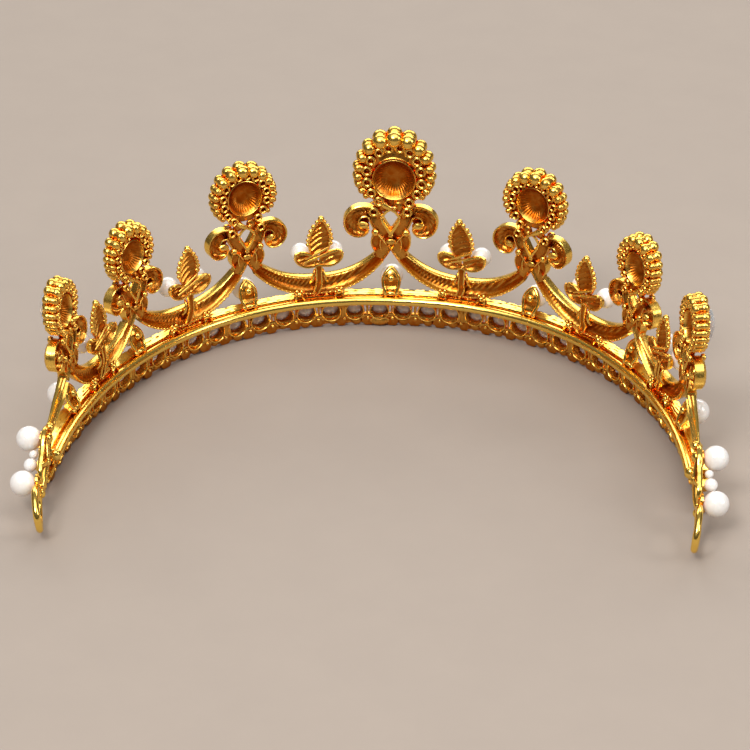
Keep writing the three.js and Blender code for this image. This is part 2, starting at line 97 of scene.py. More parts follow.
# ------------------------------------------------------------------ mesh building
class Geo:
    """Collects closed shells in (s, z, w); each is turned to face outwards."""

    def __init__(self, mirror=1):
        self.v, self.f, self.t, self.n, self.m = [], [], [], 0, mirror

    def add(self, verts, faces, painted_shade=0.0):
        """The value, 0 to 1 at each vertex, is how much painted shade darkens the surface in its hollows, cups and
        undersides.
        """
        verts = np.array(verts, float).reshape(-1, 3)
        self.t.append(np.broadcast_to(np.asarray(painted_shade, float).ravel(), (len(verts),)) if np.ndim(painted_shade) == 0 else np.asarray(painted_shade, float).ravel())
        vol = 0.0
        for F in faces:
            F = np.asarray(F)
            if len(F) == 0:
                continue
            for k in range(1, F.shape[1] - 1):
                a, b, c = verts[F[:, 0]], verts[F[:, k]], verts[F[:, k + 1]]
                vol += np.einsum("ij,ij->i", a, np.cross(b, c)).sum()
        flip = (vol < 0) != (self.m < 0)
        if self.m < 0:
            verts = verts * np.array([-1, 1, 1])
        for F in faces:
            F = np.asarray(F)
            if len(F):
                self.f.append((F[:, ::-1] if flip else F) + self.n)
        self.v.append(verts)
        self.n += len(verts)

    def rings(self, R, closed=False, caps="fan", painted_shade=0.0):
        """R is N rings of K points, each ring a loop."""
        R = np.asarray(R, float)
        N, K = R.shape[:2]
        T = np.broadcast_to(np.asarray(painted_shade, float), (N, K)).reshape(-1)
        i = np.arange(N if closed else N - 1)[:, None]
        j = np.arange(K)[None, :]
        a, b = i * K + j, ((i + 1) % N) * K + j
        c, d = ((i + 1) % N) * K + (j + 1) % K, i * K + (j + 1) % K
        quads = np.stack([a, b, c, d], -1).reshape(-1, 4)
        verts, tris = R.reshape(-1, 3), []
        if not closed:
            if caps == "fan":
                verts = np.vstack([verts, R[0].mean(0), R[-1].mean(0)])
                T = np.concatenate([T, T[:1], T[-1:]])
                jj = np.arange(K)
                k2 = (jj + 1) % K
                tris = np.vstack([np.stack([np.full(K, N * K), jj, k2], -1),
                                  np.stack([np.full(K, N * K + 1), (N - 1) * K + k2, (N - 1) * K + jj], -1)])
                self.add(verts, [quads, tris], T)
            else:  # strip: the first half of a ring lies over the second half
                M, e = K // 2, (N - 1) * K
                jj = np.arange(M - 1)
                q = np.stack([jj, jj + 1, K - 2 - jj, K - 1 - jj], -1)
                self.add(verts, [quads, q, (q + e)[:, ::-1]], T)
        else:
            self.add(verts, [quads], T)

    def shell(self, rear, front, painted_shade=0.0):
        rear, front = np.asarray(rear), np.asarray(front)
        t = np.broadcast_to(np.asarray(painted_shade, float), rear.shape[:2])
        # the front face carries 0.3 of the rear's painted shade
        self.rings(np.concatenate([rear, front[:, ::-1]], 1), caps="strip", painted_shade=np.concatenate([t, t[:, ::-1] * 0.3], 1))

    def ball(self, c, r, nu=18, nv=12, sc=(1, 1, 1), painted_shade=0.0):
        th = np.pi * np.arange(1, nv) / nv
        ph = 2 * np.pi * np.arange(nu) / nu
        R = np.stack([np.outer(np.sin(th), np.cos(ph)), np.outer(np.sin(th), np.sin(ph)),
                      np.outer(np.cos(th), np.ones(nu))], -1)
        R = R[..., [0, 2, 1]]
        poles = np.array([[0, 1, 0], [0, -1, 0]], float)
        s = np.array(sc) * r
        self.poled(R * s + np.array(c), poles * s + np.array(c), painted_shade)

    def poled(self, R, poles, painted_shade=0.0):
        """Rings closed with one vertex at each end."""
        N, K = R.shape[:2]
        T = np.broadcast_to(np.asarray(painted_shade, float), (N, K)).reshape(-1)
        T = np.concatenate([T, T[:1], T[-1:]])
        i = np.arange(N - 1)[:, None]
        j = np.arange(K)[None, :]
        k2 = (j + 1) % K
        quads = np.stack([i * K + j, (i + 1) * K + j, (i + 1) * K + k2, i * K + k2], -1).reshape(-1, 4)
        jj = np.arange(K)
        kk = (jj + 1) % K
        tris = np.vstack([np.stack([np.full(K, N * K), jj, kk], -1),
                          np.stack([np.full(K, N * K + 1), (N - 1) * K + kk, (N - 1) * K + jj], -1)])
        self.add(np.vstack([R.reshape(-1, 3), poles]), [quads, tris], T)

    def tube(self, path, r, k=10, closed=False, flat=1.0, rounded=True, painted_shade=0.0):
        """Round wire along a path of (s, z, w); flat scales it across w."""
        P = np.asarray(path, float)
        N = len(P)
        r = np.broadcast_to(np.asarray(r, float), (N,)).copy()
        T = np.roll(P, -1, 0) - np.roll(P, 1, 0) if closed else np.gradient(P, axis=0)
        T /= np.linalg.norm(T, axis=1)[:, None] + 1e-12
        if rounded and not closed:
            a = np.radians([85, 60, 30])
            pre = P[0] - T[0] * (r[0] * np.sin(a))[:, None]
            post = P[-1] + T[-1] * (r[-1] * np.sin(a[::-1]))[:, None]
            P = np.vstack([pre, P, post])
            T = np.vstack([np.repeat(T[:1], 3, 0), T, np.repeat(T[-1:], 3, 0)])
            r = np.concatenate([r[0] * np.cos(a), r, r[-1] * np.cos(a[::-1])])
        up = np.array([0, 0, 1.0])
        A = np.cross(T, up)
        bad = np.linalg.norm(A, axis=1) < 1e-3
        A[bad] = [1, 0, 0]
        A /= np.linalg.norm(A, axis=1)[:, None]
        B = np.cross(A, T)
        ph = 2 * np.pi * np.arange(k) / k
        R = P[:, None] + r[:, None, None] * (A[:, None] * np.cos(ph)[None, :, None] + flat * B[:, None] * np.sin(ph)[None, :, None])
        self.rings(R, closed=closed, painted_shade=painted_shade)

    def lathe(self, c, prof, n=24, a=1.0, b=1.0, closed=False, ph0=0.0, rib=None, painted_shade=0.0):
        """prof is (radius, w) or (ra, rb, w); ends on the axis unless closed."""
        prof = np.asarray(prof, float)
        if prof.shape[1] == 2:
            prof = np.stack([prof[:, 0] * a, prof[:, 0] * b, prof[:, 1]], -1)
        ph = ph0 + 2 * np.pi * np.arange(n) / n
        R = np.stack([c[0] + np.outer(prof[:, 0], np.cos(ph)), c[1] + np.outer(prof[:, 1], np.sin(ph)),
                      np.repeat((c[2] + prof[:, 2])[:, None], n, 1)], -1)
        if rib is not None:
            R = rib(R, ph, prof)
        painted_shade = np.broadcast_to(np.asarray(painted_shade, float), (len(prof),))
        if closed:
            self.rings(R, closed=True, painted_shade=np.repeat(painted_shade[:, None], n, 1))
        else:
            self.poled(R[1:-1], np.array([R[0].mean(0), R[-1].mean(0)]), np.repeat(painted_shade[1:-1, None], n, 1))

    def sweep(self, path, half, rear, front, across=None, painted_shade=0.0):
        """path N x 2 in (s, z); rear and front are N x M offsets w over the width."""
        P = np.asarray(path, float)
        T = np.gradient(P, axis=0)
        T /= np.linalg.norm(T, axis=1)[:, None] + 1e-12
        A = np.stack([-T[:, 1], T[:, 0]], -1) if across is None else across
        M = rear.shape[1]
        t = np.linspace(-1, 1, M) if np.ndim(half) == 1 else None
        a = half[:, None] * t if t is not None else half
        S = P[:, None] + A[:, None] * a[..., None]
        self.shell(np.concatenate([S, rear[..., None]], -1), np.concatenate([S, front[..., None]], -1), painted_shade)

    def build(self, name, material, node, angle=38):
        V = wrap(np.vstack(self.v))
        me = bpy.data.meshes.new(name)
        loops, starts, totals, p = [], [], [], 0
        for F in self.f:
            F = np.asarray(F)
            k = F.shape[1]
            loops.append(F.ravel())
            starts.append(p + np.arange(len(F)) * k)
            totals.append(np.full(len(F), k))
            p += len(F) * k
        loops, starts, totals = map(np.concatenate, (loops, starts, totals))
        me.vertices.add(len(V))
        me.vertices.foreach_set("co", V.astype(np.float32).ravel())
        me.loops.add(len(loops))
        me.loops.foreach_set("vertex_index", loops.astype(np.int32))
        me.polygons.add(len(starts))
        me.polygons.foreach_set("loop_start", starts.astype(np.int32))
        me.polygons.foreach_set("loop_total", totals.astype(np.int32))
        me.update(calc_edges=True)
        # per-vertex painted shade, read by the gold material
        at = me.attributes.new("painted_shade", "FLOAT", "POINT")
        at.data.foreach_set("value", np.clip(np.concatenate(self.t), 0, 1).astype(np.float32))
        me.validate()
        me.shade_smooth()
        me.set_sharp_from_angle(angle=math.radians(angle))
        return place(me, name, material, node)


def place(me, name, material, node):
    ob = bpy.data.objects.new(name, me)
    bpy.context.scene.collection.objects.link(ob)
    me.materials.clear()
    me.materials.append(material)
    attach(ob, "root")
    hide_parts(*([node] if isinstance(node, str) else node))
    return ob


def spline(pts, step=0.3, closed=False):
    """Catmull-Rom through rows of (s, z, ...), resampled evenly along (s, z)."""
    P = np.asarray(pts, float)
    Q = np.vstack([P[-1], P, P[0], P[1]]) if closed else np.vstack([2 * P[0] - P[1], P, 2 * P[-1] - P[-2]])
    out = []
    for i in range(len(Q) - 3):
        t = np.linspace(0, 1, 24, endpoint=False)[:, None]
        p0, p1, p2, p3 = Q[i:i + 4]
        out.append(0.5 * (2 * p1 + (p2 - p0) * t + (2 * p0 - 5 * p1 + 4 * p2 - p3) * t ** 2 + (3 * p1 - p0 - 3 * p2 + p3) * t ** 3))
    C = np.vstack(out + [P[:1] if closed else P[-1:]])
    L = np.concatenate([[0], np.cumsum(np.hypot(*np.diff(C[:, :2], axis=0).T))])
    n = max(4, int(round(L[-1] / step)) + 1)
    u = np.linspace(0, L[-1], n)
    R = np.stack([np.interp(u, L, C[:, k]) for k in range(C.shape[1])], -1)
    return R[:-1] if closed else R


def smooth(x, lo, hi):
    t = np.clip((x - lo) / (hi - lo), 0, 1)
    return t * t * (3 - 2 * t)


def gadroon(x):
    """Rounded rib with a crisp valley, 0 to 1."""
    return np.abs(np.sin(np.pi * x)) ** 0.8


# ------------------------------------------------------------------ materials
def tree(name):
    m = bpy.data.materials.new(name)
    m.use_nodes = True
    nt = m.node_tree
    nt.nodes.clear()
    out = nt.nodes.new("ShaderNodeOutputMaterial")
    bs = nt.nodes.new("ShaderNodeBsdfPrincipled")
    nt.links.new(bs.outputs[0], out.inputs[0])
    return m, nt, bs


def noise(nt, scale, detail=3.0, rough=0.55, coord=None, dist=0.0):
    n = nt.nodes.new("ShaderNodeTexNoise")
    n.inputs["Scale"].default_value = scale
    n.inputs["Detail"].default_value = detail
    n.inputs["Roughness"].default_value = rough
    n.inputs["Distortion"].default_value = dist
    nt.links.new(coord, n.inputs["Vector"])
    return n.outputs["Fac"]


def maprange(nt, src, a, b, c, d):
    n = nt.nodes.new("ShaderNodeMapRange")
    nt.links.new(src, n.inputs["Value"])
    for k, v in (("From Min", a), ("From Max", b), ("To Min", c), ("To Max", d)):
        n.inputs[k].default_value = v
    return n.outputs["Result"]


def mixcol(nt, fac, a, b, mode="MIX"):
    n = nt.nodes.new("ShaderNodeMix")
    n.data_type = "RGBA"
    n.blend_type = mode
    if isinstance(fac, float):
        n.inputs["Factor"].default_value = fac
    else:
        nt.links.new(fac, n.inputs["Factor"])
    for sock, val in ((n.inputs["A"], a), (n.inputs["B"], b)):
        pass
    A = [s for s in n.inputs if s.name == "A" and s.type == "RGBA"][0]
    B = [s for s in n.inputs if s.name == "B" and s.type == "RGBA"][0]
    for sock, val in ((A, a), (B, b)):
        if isinstance(val, tuple):
            sock.default_value = (*val, 1.0)
        else:
            nt.links.new(val, sock)
    return [s for s in n.outputs if s.type == "RGBA"][0]


def gold_material(name, bright, deep, painted_shade_col, rough=(0.16, 0.34), bump=0.35, ao=0.0024):
    m, nt, bs = tree(name)
    co = nt.nodes.new("ShaderNodeTexCoord").outputs["Object"]
    # painted shade: where the AO node finds a cavity, the colour is mixed from bright towards deep, a painted shade
    # colour
    cav = nt.nodes.new("ShaderNodeAmbientOcclusion")
    cav.samples = 4
    cav.inputs["Distance"].default_value = ao
    open_ = maprange(nt, cav.outputs["AO"], 0.30, 0.92, 0.0, 1.0)
    cloud = noise(nt, 260.0, 3.0, 0.6, co)
    tint = maprange(nt, cloud, 0.3, 0.7, -0.12, 0.12)
    add = nt.nodes.new("ShaderNodeMath")
    add.operation = "ADD"
    add.use_clamp = True
    nt.links.new(open_, add.inputs[0])
    nt.links.new(tint, add.inputs[1])
    col = mixcol(nt, add.outputs[0], deep, bright)
    # painted shade: the per-vertex attribute, varied by noise, mixes the colour towards a darker painted shade colour;
    # the same factor also raises the roughness
    att = nt.nodes.new("ShaderNodeAttribute")
    att.attribute_name = "painted_shade"
    painted_shade_fac = nt.nodes.new("ShaderNodeMath")
    painted_shade_fac.operation = "MULTIPLY"
    painted_shade_fac.use_clamp = True
    nt.links.new(att.outputs["Fac"], painted_shade_fac.inputs[0])
    nt.links.new(maprange(nt, noise(nt, 700.0, 4.0, 0.6, co), 0.25, 0.75, 1.1, 0.75), painted_shade_fac.inputs[1])
    col = mixcol(nt, painted_shade_fac.outputs[0], col, painted_shade_col)
    nt.links.new(col, bs.inputs["Base Color"])
    bs.inputs["Metallic"].default_value = 1.0
    fine = noise(nt, 2600.0, 4.0, 0.6, co)
    base = maprange(nt, fine, 0.3, 0.75, rough[0], rough[1])
    dull = nt.nodes.new("ShaderNodeMath")
    dull.operation = "MULTIPLY_ADD"
    nt.links.new(painted_shade_fac.outputs[0], dull.inputs[0])
    dull.inputs[1].default_value = 0.12
    nt.links.new(base, dull.inputs[2])
    nt.links.new(dull.outputs[0], bs.inputs["Roughness"])
    cast = noise(nt, 900.0, 4.0, 0.6, co, 0.4)
    mixn = nt.nodes.new("ShaderNodeMath")
    mixn.operation = "MULTIPLY_ADD"
    nt.links.new(fine, mixn.inputs[0])
    mixn.inputs[1].default_value = 0.35
    nt.links.new(cast, mixn.inputs[2])
    bp = nt.nodes.new("ShaderNodeBump")
    bp.inputs["Strength"].default_value = bump
    bp.inputs["Distance"].default_value = 0.00012
    nt.links.new(mixn.outputs[0], bp.inputs["Height"])
    nt.links.new(bp.outputs[0], bs.inputs["Normal"])
    bs.inputs["Specular Tint"].default_value = (1.0, 0.92, 0.66, 1.0)
    return m


def pearl_material(name):
    m, nt, bs = tree(name)
    co = nt.nodes.new("ShaderNodeTexCoord").outputs["Object"]
    lw = nt.nodes.new("ShaderNodeLayerWeight")
    lw.inputs["Blend"].default_value = 0.35
    cloud = noise(nt, 190.0, 3.0, 0.5, co)
    warm = mixcol(nt, maprange(nt, cloud, 0.35, 0.65, 0.0, 1.0), (0.93, 0.89, 0.85), (0.96, 0.94, 0.92))
    rim = mixcol(nt, maprange(nt, lw.outputs["Facing"], 0.25, 0.95, 0.0, 0.55), warm, (0.84, 0.76, 0.78))
    nt.links.new(rim, bs.inputs["Base Color"])
    bs.inputs["Metallic"].default_value = 0.0
    bs.inputs["IOR"].default_value = 1.6
    nt.links.new(maprange(nt, noise(nt, 1400.0, 3.0, 0.6, co), 0.3, 0.7, 0.16, 0.28), bs.inputs["Roughness"])
    bs.inputs["Subsurface Weight"].default_value = 0.15
    bs.inputs["Subsurface Radius"].default_value = (1.0, 0.8, 0.7)
    bs.inputs["Subsurface Scale"].default_value = 0.0012
    bs.inputs["Coat Weight"].default_value = 0.7
    bs.inputs["Coat Roughness"].default_value = 0.08
    bs.inputs["Coat IOR"].default_value = 1.6
    bs.inputs["Sheen Weight"].default_value = 0.15
    bp = nt.nodes.new("ShaderNodeBump")
    bp.inputs["Strength"].default_value = 0.08
    bp.inputs["Distance"].default_value = 0.0001
    nt.links.new(noise(nt, 1100.0, 2.0, 0.5, co), bp.inputs["Height"])
    nt.links.new(bp.outputs[0], bs.inputs["Normal"])
    return m


def crystal_material(name):
    m, nt, bs = tree(name)
    co = nt.nodes.new("ShaderNodeTexCoord").outputs["Object"]
    cloud = noise(nt, 420.0, 3.0, 0.6, co)
    nt.links.new(mixcol(nt, maprange(nt, cloud, 0.35, 0.65, 0.0, 1.0), (0.88, 0.90, 0.91), (0.98, 0.98, 0.99)), bs.inputs["Base Color"])
    nt.links.new(maprange(nt, noise(nt, 2100.0, 3.0, 0.6, co), 0.3, 0.7, 0.02, 0.07), bs.inputs["Roughness"])
    bs.inputs["Transmission Weight"].default_value = 0.55
    bs.inputs["IOR"].default_value = 1.62
    bs.inputs["Coat Weight"].default_value = 0.5
    bs.inputs["Coat Roughness"].default_value = 0.03
    return m


# each gold: its own colour, the painted cavity shade colour, then the darker painted shade colour
GOLD = gold_material("cast_gold", (1.0, 0.64, 0.13), (0.76, 0.21, 0.012), (0.42, 0.090, 0.003))
GOLD_BRIGHT = gold_material("polished_gold", (1.0, 0.68, 0.15), (0.80, 0.27, 0.02), (0.52, 0.14, 0.006), rough=(0.12, 0.24), bump=0.22)
PEARL = pearl_material("pearl_lacquer")
CRYSTAL = crystal_material("clear_crystal")
SIDES = (("left", 1), ("right", -1))


# ------------------------------------------------------------------ band: rail, ledge and pearl seats
def jitter(n, k, amp, seed):
    """Smooth random field, n along and k across."""
    r = np.random.default_rng(seed)
    base = r.normal(size=(n // 3 + 4, max(2, k // 3 + 2)))
    u = np.linspace(0, base.shape[0] - 1.001, n)
    v = np.linspace(0, base.shape[1] - 1.001, k)
    i, j = u.astype(int), v.astype(int)
    fu, fv = (u - i)[:, None], (v - j)[None, :]
    fu, fv = fu * fu * (3 - 2 * fu), fv * fv * (3 - 2 * fv)
    b = base
    return amp * ((b[i][:, j] * (1 - fu) + b[i + 1][:, j] * fu) * (1 - fv) + (b[i][:, j + 1] * (1 - fu) + b[i + 1][:, j + 1] * fu) * fv)


def band_rail():
    g = Geo()
    n = 640
    s = np.linspace(-RAIL_END, RAIL_END, n)
    ang = np.radians(np.linspace(50, 312, 17))
    circ = np.stack([1.1 * np.cos(ang), RAIL_Z + 1.1 * np.sin(ang)], -1)     # round rail, open towards the groove
    circ = circ[::-1]
    # from under the rail, round its inner side, over the top, groove, step and ledge
    step = np.array([[0.82, 8.62], [0.98, 8.46], [1.12, 8.48], [1.2, 8.75], [1.26, 9.0]])
    ledge = np.stack([np.linspace(1.34, 4.05, 12), np.full(12, LEDGE_TOP - 0.06)], -1)
    back = np.array([[4.2, 9.1], [4.22, 8.6], [4.15, 8.05], [3.4, 7.95], [1.3, 7.95]])
    prof = np.vstack([circ, step, ledge, back])
    K = len(prof)
    R = np.zeros((n, K, 3))
    R[..., 0] = s[:, None]
    R[..., 1] = prof[None, :, 1]
    R[..., 2] = prof[None, :, 0]
    i0, i1 = len(circ) + len(step), len(circ) + len(step) + len(ledge)
    f = 0.45 * jitter(n, i1 - i0, 0.075, 3) + 0.05 * np.sin(np.arange(i1 - i0) * 2.3 + 0.4 * np.sin(s[:, None] * 0.21))
    R[:, i0:i1, 1] += f
    edge = 0.16 * np.sin(s * 2.1 + 1.3 * np.sin(s * 0.37)) + 0.10 * np.sin(s * 4.7 + 0.5)
    for k in range(i1 - 4, i1 + 2):
        R[:, k, 2] += edge * (0.4 + 0.15 * (k - i1 + 4))
    mill = 0.10 * (np.cos(2 * np.pi * s / 0.95) ** 3)
    for k in (len(circ) + 2, len(circ) + 3, len(circ) + 4):
        R[:, k, 1] += mill
        R[:, k, 2] -= 0.10 * np.abs(mill) * 4
    R[:, : len(circ), 1] += (0.02 * np.sin(s * 0.31) + 0.015 * np.sin(s * 0.83))[:, None]
    g.rings(R)
    # hooded seat behind each band pearl: a wishbone rim that leans over the pearl, a bead and a hollow
    for sign in (1, -1):
        for i in range(4):
            if i == 0 and sign < 0:
                continue
            c = sign * ARCS[i]
            leg = np.array([(1.25, 9.2, 0.75), (1.45, 10.4, 0.95), (1.85, 11.7, 1.55), (1.95, 12.9, 1.95), (1.65, 14.0, 2.2), (1.0, 15.0, 2.65), (0.0, 15.75, 3.1)])
            legs = np.vstack([leg, (leg * [-1, 1, 1])[::-1][1:]])
            path = spline(legs, 0.25)
            g.tube(path + [c, 0, 0], 0.50, k=10)
            N, M = 26, 13
            v = np.linspace(0, 1, N)
            one = spline(leg, 0.2)
            u = np.linspace(0, 1, len(one))
            hx, hz, hw = (np.interp(v, u, one[:, k]) for k in range(3))
            t = np.linspace(-1, 1, M)
            xx = hx[:, None] * t[None, :]
            zz = np.repeat(hz[:, None], M, 1)
            shell_w = 4.75 - np.sqrt(np.clip(3.4 ** 2 - xx ** 2 - (zz - 12.85) ** 2, 0.3, None))
            rear = np.where(zz > 11.2, np.minimum(shell_w, hw[:, None] + 0.1), hw[:, None] + 0.05)
            rear = rear + 0.22 * (1 - t[None, :] ** 2) * smooth(v, 0.18, 0.34)[:, None] * (1 - smooth(v, 0.46, 0.6))[:, None]
            S = np.stack([c + hx[:, None] * t[None, :], np.repeat(hz[:, None], M, 1)], -1)
            # painted shade: darker inside the hood, less at its sides and tip
            dark = np.repeat((0.55 + 0.45 * smooth(v, 0.2, 0.34) * (1 - smooth(v, 0.5, 0.6)))[:, None], M, 1) * (1 - 0.7 * t[None, :] ** 4) * (1 - smooth(v, 0.8, 0.95))[:, None]
            g.shell(np.concatenate([S, rear[..., None]], -1), np.concatenate([S, rear[..., None] + 0.45], -1), dark)
            g.ball((c, 13.6, 1.35), 0.95, 16, 11, sc=(1, 1, 0.85))
            g.ball((c, 9.7, 0.85), 0.85, sc=(1.5, 0.8, 0.8))
            for m in (1, -1):
                g.ball((c + 1.5 * m, 9.55, 0.9), 0.62, 12, 8)
    # pierced posts where the swags meet the band
    hole = np.array([[0, 1.15], [0.55, 1.12], [0.66, 0.95], [0.70, 0.3], [0.78, 0.06], [0.98, -0.06], [1.2, 0.02], [1.34, 0.3], [1.38, 1.4], [0, 1.6]])
    for sign in (1, -1):
        for c in (12.85, 22.8, 47.4, 57.3, 79.3, 87.9):
            # painted shade inside the pierced hole of each post
            g.lathe((sign * c, 9.15, 0.35), hole, n=20, painted_shade=[1, 1, 0.9, 0.5, 0, 0, 0, 0, 0, 0])
            for dx, dz, dw, r in ((0.1, 10.55, 0.85, 0.72), (-0.55, 11.2, 1.0, 0.5), (0.65, 11.3, 1.05, 0.55), (0.9, 10.4, 0.9, 0.45)):
                g.ball((sign * (c + dx), dz, dw), r, 12, 8)
    # granular casting skin between the posts, where a swag rests on the ledge
    r2 = np.random.default_rng(21)
    for sign in (1, -1):
        for c in (17.85, 52.38, 83.61):
            for x in np.arange(-4.2, 4.3, 0.62):
                g.ball((sign * (c + x + r2.normal() * 0.12), 9.35 + 0.22 * r2.random(), 1.9 + 0.9 * r2.random()), 0.30 + 0.2 * r2.random(), 9, 6)
    for sign in (1, -1):
        g.ball((sign * (RAIL_END - 0.3), 8.1, 0.4), 1.45, sc=(0.9, 1.0, 1.1))
    return g.build("rail_and_ledge", GOLD_BRIGHT, "band_rail")


def band_gallery():
    g = Geo()
    # painted shade: the strip's underside, the wall, the cup insides, the lumps, lobes, struts and boss get per-vertex
    # values that darken them
    r1 = np.random.default_rng(5)
    ks = (np.arange(-PER_SIDE, PER_SIDE) + 0.5) * PITCH
    n = 500
    s = np.linspace(-GALLERY_END, GALLERY_END, n)

    def wire(zf, wf, r, k=10, step=0.4):
        ss = np.arange(-GALLERY_END + 0.6, GALLERY_END - 0.5, step)
        g.tube(np.stack([ss, zf(ss), wf(ss)], -1), r, k=k)

    ph = lambda x: 2 * np.pi * (x - ks[0]) / PITCH
    # strip that joins the cups under the ledge
    R = np.zeros((n, 8, 3))
    z0, z1, w0, w1 = 6.35, 7.75, 1.6, 3.9
    prof = np.array([[w0, z0 + .3], [w0, z1], [w0 + .5, z1 + .05], [w1 - .4, z1 + .05], [w1, z1], [w1, z0 + .2], [w1 - .4, z0], [w0 + .4, z0]])
    R[..., 0] = s[:, None]
    R[..., 1] = prof[None, :, 1]
    R[..., 2] = prof[None, :, 0]
    R[:, 6:, 1] += (0.22 * np.cos(ph(s)))[:, None]
    g.rings(R, painted_shade=np.array([0.7, 0, 0, 0, 0, 0, 0.5, 0.8])[None, :])
    # wall under the stones, scalloped on top
    R = np.zeros((n, 6, 3))
    prof = np.array([[3.0, 0.3], [2.8, 1.2], [2.95, 2.5], [3.7, 2.5], [3.85, 1.2], [3.6, 0.3]])
    R[..., 0] = s[:, None]
    R[..., 1] = prof[None, :, 1]
    R[..., 2] = prof[None, :, 0]
    R[:, 2:4, 1] -= (0.35 * np.cos(ph(s)))[:, None]
    g.rings(R, painted_shade=np.array([0.6, 0.7, 0.3, 0, 0, 0])[None, :])
    wob = np.interp(np.arange(-GALLERY_END, GALLERY_END, 1.0), np.arange(-GALLERY_END, GALLERY_END + 3, 3.0), r1.normal(size=len(np.arange(-GALLERY_END, GALLERY_END + 3, 3.0))) * 0.16)
    wx = np.arange(-GALLERY_END, GALLERY_END, 1.0)
    wire(lambda x: 3.0 - 0.36 * np.cos(ph(x)) + np.interp(x, wx, wob), lambda x: 1.75 + 0.12 * np.cos(ph(x)), 0.30, k=8)
    wire(lambda x: 0.62 + 0.14 * np.cos(ph(x)), lambda x: 3.4 + 0 * x, 0.55)
    cup = np.array([[2.46, 1.75], [2.50, 1.42], [2.42, 1.22], [2.24, 1.18], [2.08, 1.36], [1.98, 2.2], [1.88, 3.2], [1.74, 4.1], [1.9, 4.5], [2.2, 4.45], [2.4, 3.9], [2.36, 3.0]])
    painted_shade = [0, 0, 0, 0, 0, 0.4, 0.5, 0, 0, 0, 0, 0]
    for c in ks:
        j = r1.normal(size=4)
        g.lathe((c + 0.12 * j[0], WINDOW_Z + 0.08 * j[1], 0.1 * j[2]), cup * [1 + 0.025 * j[3], 1], n=26, closed=True, painted_shade=painted_shade)
        for a in (45, 135, 225, 315):     # claws that hold the stone, front side
            ca, sa = math.cos(math.radians(a)), math.sin(math.radians(a))
            g.tube(np.array([[c + 2.2 * ca, WINDOW_Z + 2.2 * sa, 3.6], [c + 2.1 * ca, WINDOW_Z + 2.1 * sa, 4.7], [c + 1.5 * ca, WINDOW_Z + 1.5 * sa, 5.15]]), 0.28, k=6)
        # a lump of the casting under each cup
        g.ball((c + 0.3 * j[2], 1.35 + 0.15 * j[1], 2.75), 1.12 + 0.14 * np.clip(j[0], -1.6, 1.6), 16, 11, sc=(1.15, 1.0, 0.8), painted_shade=0.7)
    for q in range(-PER_SIDE, PER_SIDE + 1):
        c = q * PITCH
        if abs(c) > GALLERY_END - 1.2:
            continue
        j = np.clip(r1.normal(size=4) * 1.5, -2.6, 2.6)
        # hollow lobe between cups: a rounded petal with a bright lip
        M, N = 15, 14
        v = np.linspace(0.10, 3.0, N)
        t = np.linspace(-1, 1, M)
        wd = 1.55 + 0.12 * j[0]
        hw = wd * np.sqrt(np.clip(1 - ((v - 1.5) / 1.62) ** 2, 0.02, 1))
        rear = 2.15 - 0.25 * (1 - t[None, :] ** 2) * np.sin(np.pi * (v - 0.1) / 3.0)[:, None] + 0.08 * j[1]
        S = np.stack([c + 0.15 * j[2] + hw[:, None] * t[None, :], np.repeat(v[:, None], M, 1)], -1)
        g.shell(np.concatenate([S, rear[..., None]], -1), np.concatenate([S, (rear * 0 + 3.4 + 0.2 * (1 - t[None, :] ** 2))[..., None]], -1), 0.85 * (1 - smooth(v, 2.2, 3.0))[:, None] + 0 * t[None, :])
        lip = np.array([[c - 1.5, 2.05, 2.0], [c - 0.85, 2.85, 1.8], [c, 3.1, 1.7], [c + 0.85, 2.85, 1.8], [c + 1.5, 2.05, 2.0]]) + [0.15 * j[2], 0.08 * j[3], 0]
        g.tube(spline(lip, 0.3), 0.26 + 0.03 * j[0], k=8)
        # strut between the cups; now and then a thicker one
        th = 0.66 if q % 5 == 2 else 0.26
        g.tube(np.array([[c - 0.25 * j[0], 6.9, 1.9], [c + 0.1 * j[1], 5.2, 1.6], [c, 3.2, 1.75]]), th + 0.03 * j[3], k=9, painted_shade=0.6 if th > 0.5 else 0.4)
        if th > 0.5:
            for m in (1, -1):
                g.tube(np.array([[c + 0.7 * m, 6.8, 1.5], [c + 0.62 * m, 5.0, 1.25], [c + 0.75 * m, 3.4, 1.4]]), 0.17, k=6)
        g.ball((c + 0.2 * j[1], 2.3, 1.75), 0.5, 12, 8)
        g.ball((c, 5.0, 4.0), 0.55, 12, 8)
    # cast oval boss near the front centre
    g.lathe((2.9, 1.35, 0), [(0, 1.25), (1.0, 1.3), (1.9, 1.5), (2.45, 1.9), (2.6, 2.5), (2.3, 3.2), (0, 3.4)], n=30, a=1.0, b=0.5, painted_shade=[0.5, 0.5, 0.4, 0, 0, 0, 0])
    g.tube(spline([(0.6, 1.9, 1.7), (1.7, 2.5, 1.4), (3.0, 2.75, 1.35), (4.2, 2.4, 1.45), (5.1, 1.8, 1.75)], 0.3), 0.26, k=8)
    return g.build("stone_gallery", GOLD, "band_gallery")


def brilliant(g, c, r, w_girdle, crown, pav, n=8):
    """Round faceted stone: table and crown towards +w, point towards -w."""
    rings = []
    for f, w, m, o in ((0.56, crown, n, 0.5), (0.82, crown * 0.55, n * 2, 0.0), (1.0, crown * 0.12, n * 2, 0.0), (1.0, -0.06, n * 2, 0.0), (0.55, -pav * 0.5, n * 2, 0.0)):
        a = 2 * np.pi * (np.arange(n * 2) / (n * 2))
        rr = r * f * (1 - 0.045 * (np.arange(n * 2) % 2) * (0.56 <= f < 0.99))
        rings.append(np.stack([c[0] + rr * np.cos(a), c[1] + rr * np.sin(a), np.full(n * 2, w_girdle + w)], -1))
    R = np.array(rings)
    poles = np.array([[c[0], c[1], w_girdle + crown], [c[0], c[1], w_girdle - pav]])
    g.poled(R, poles)


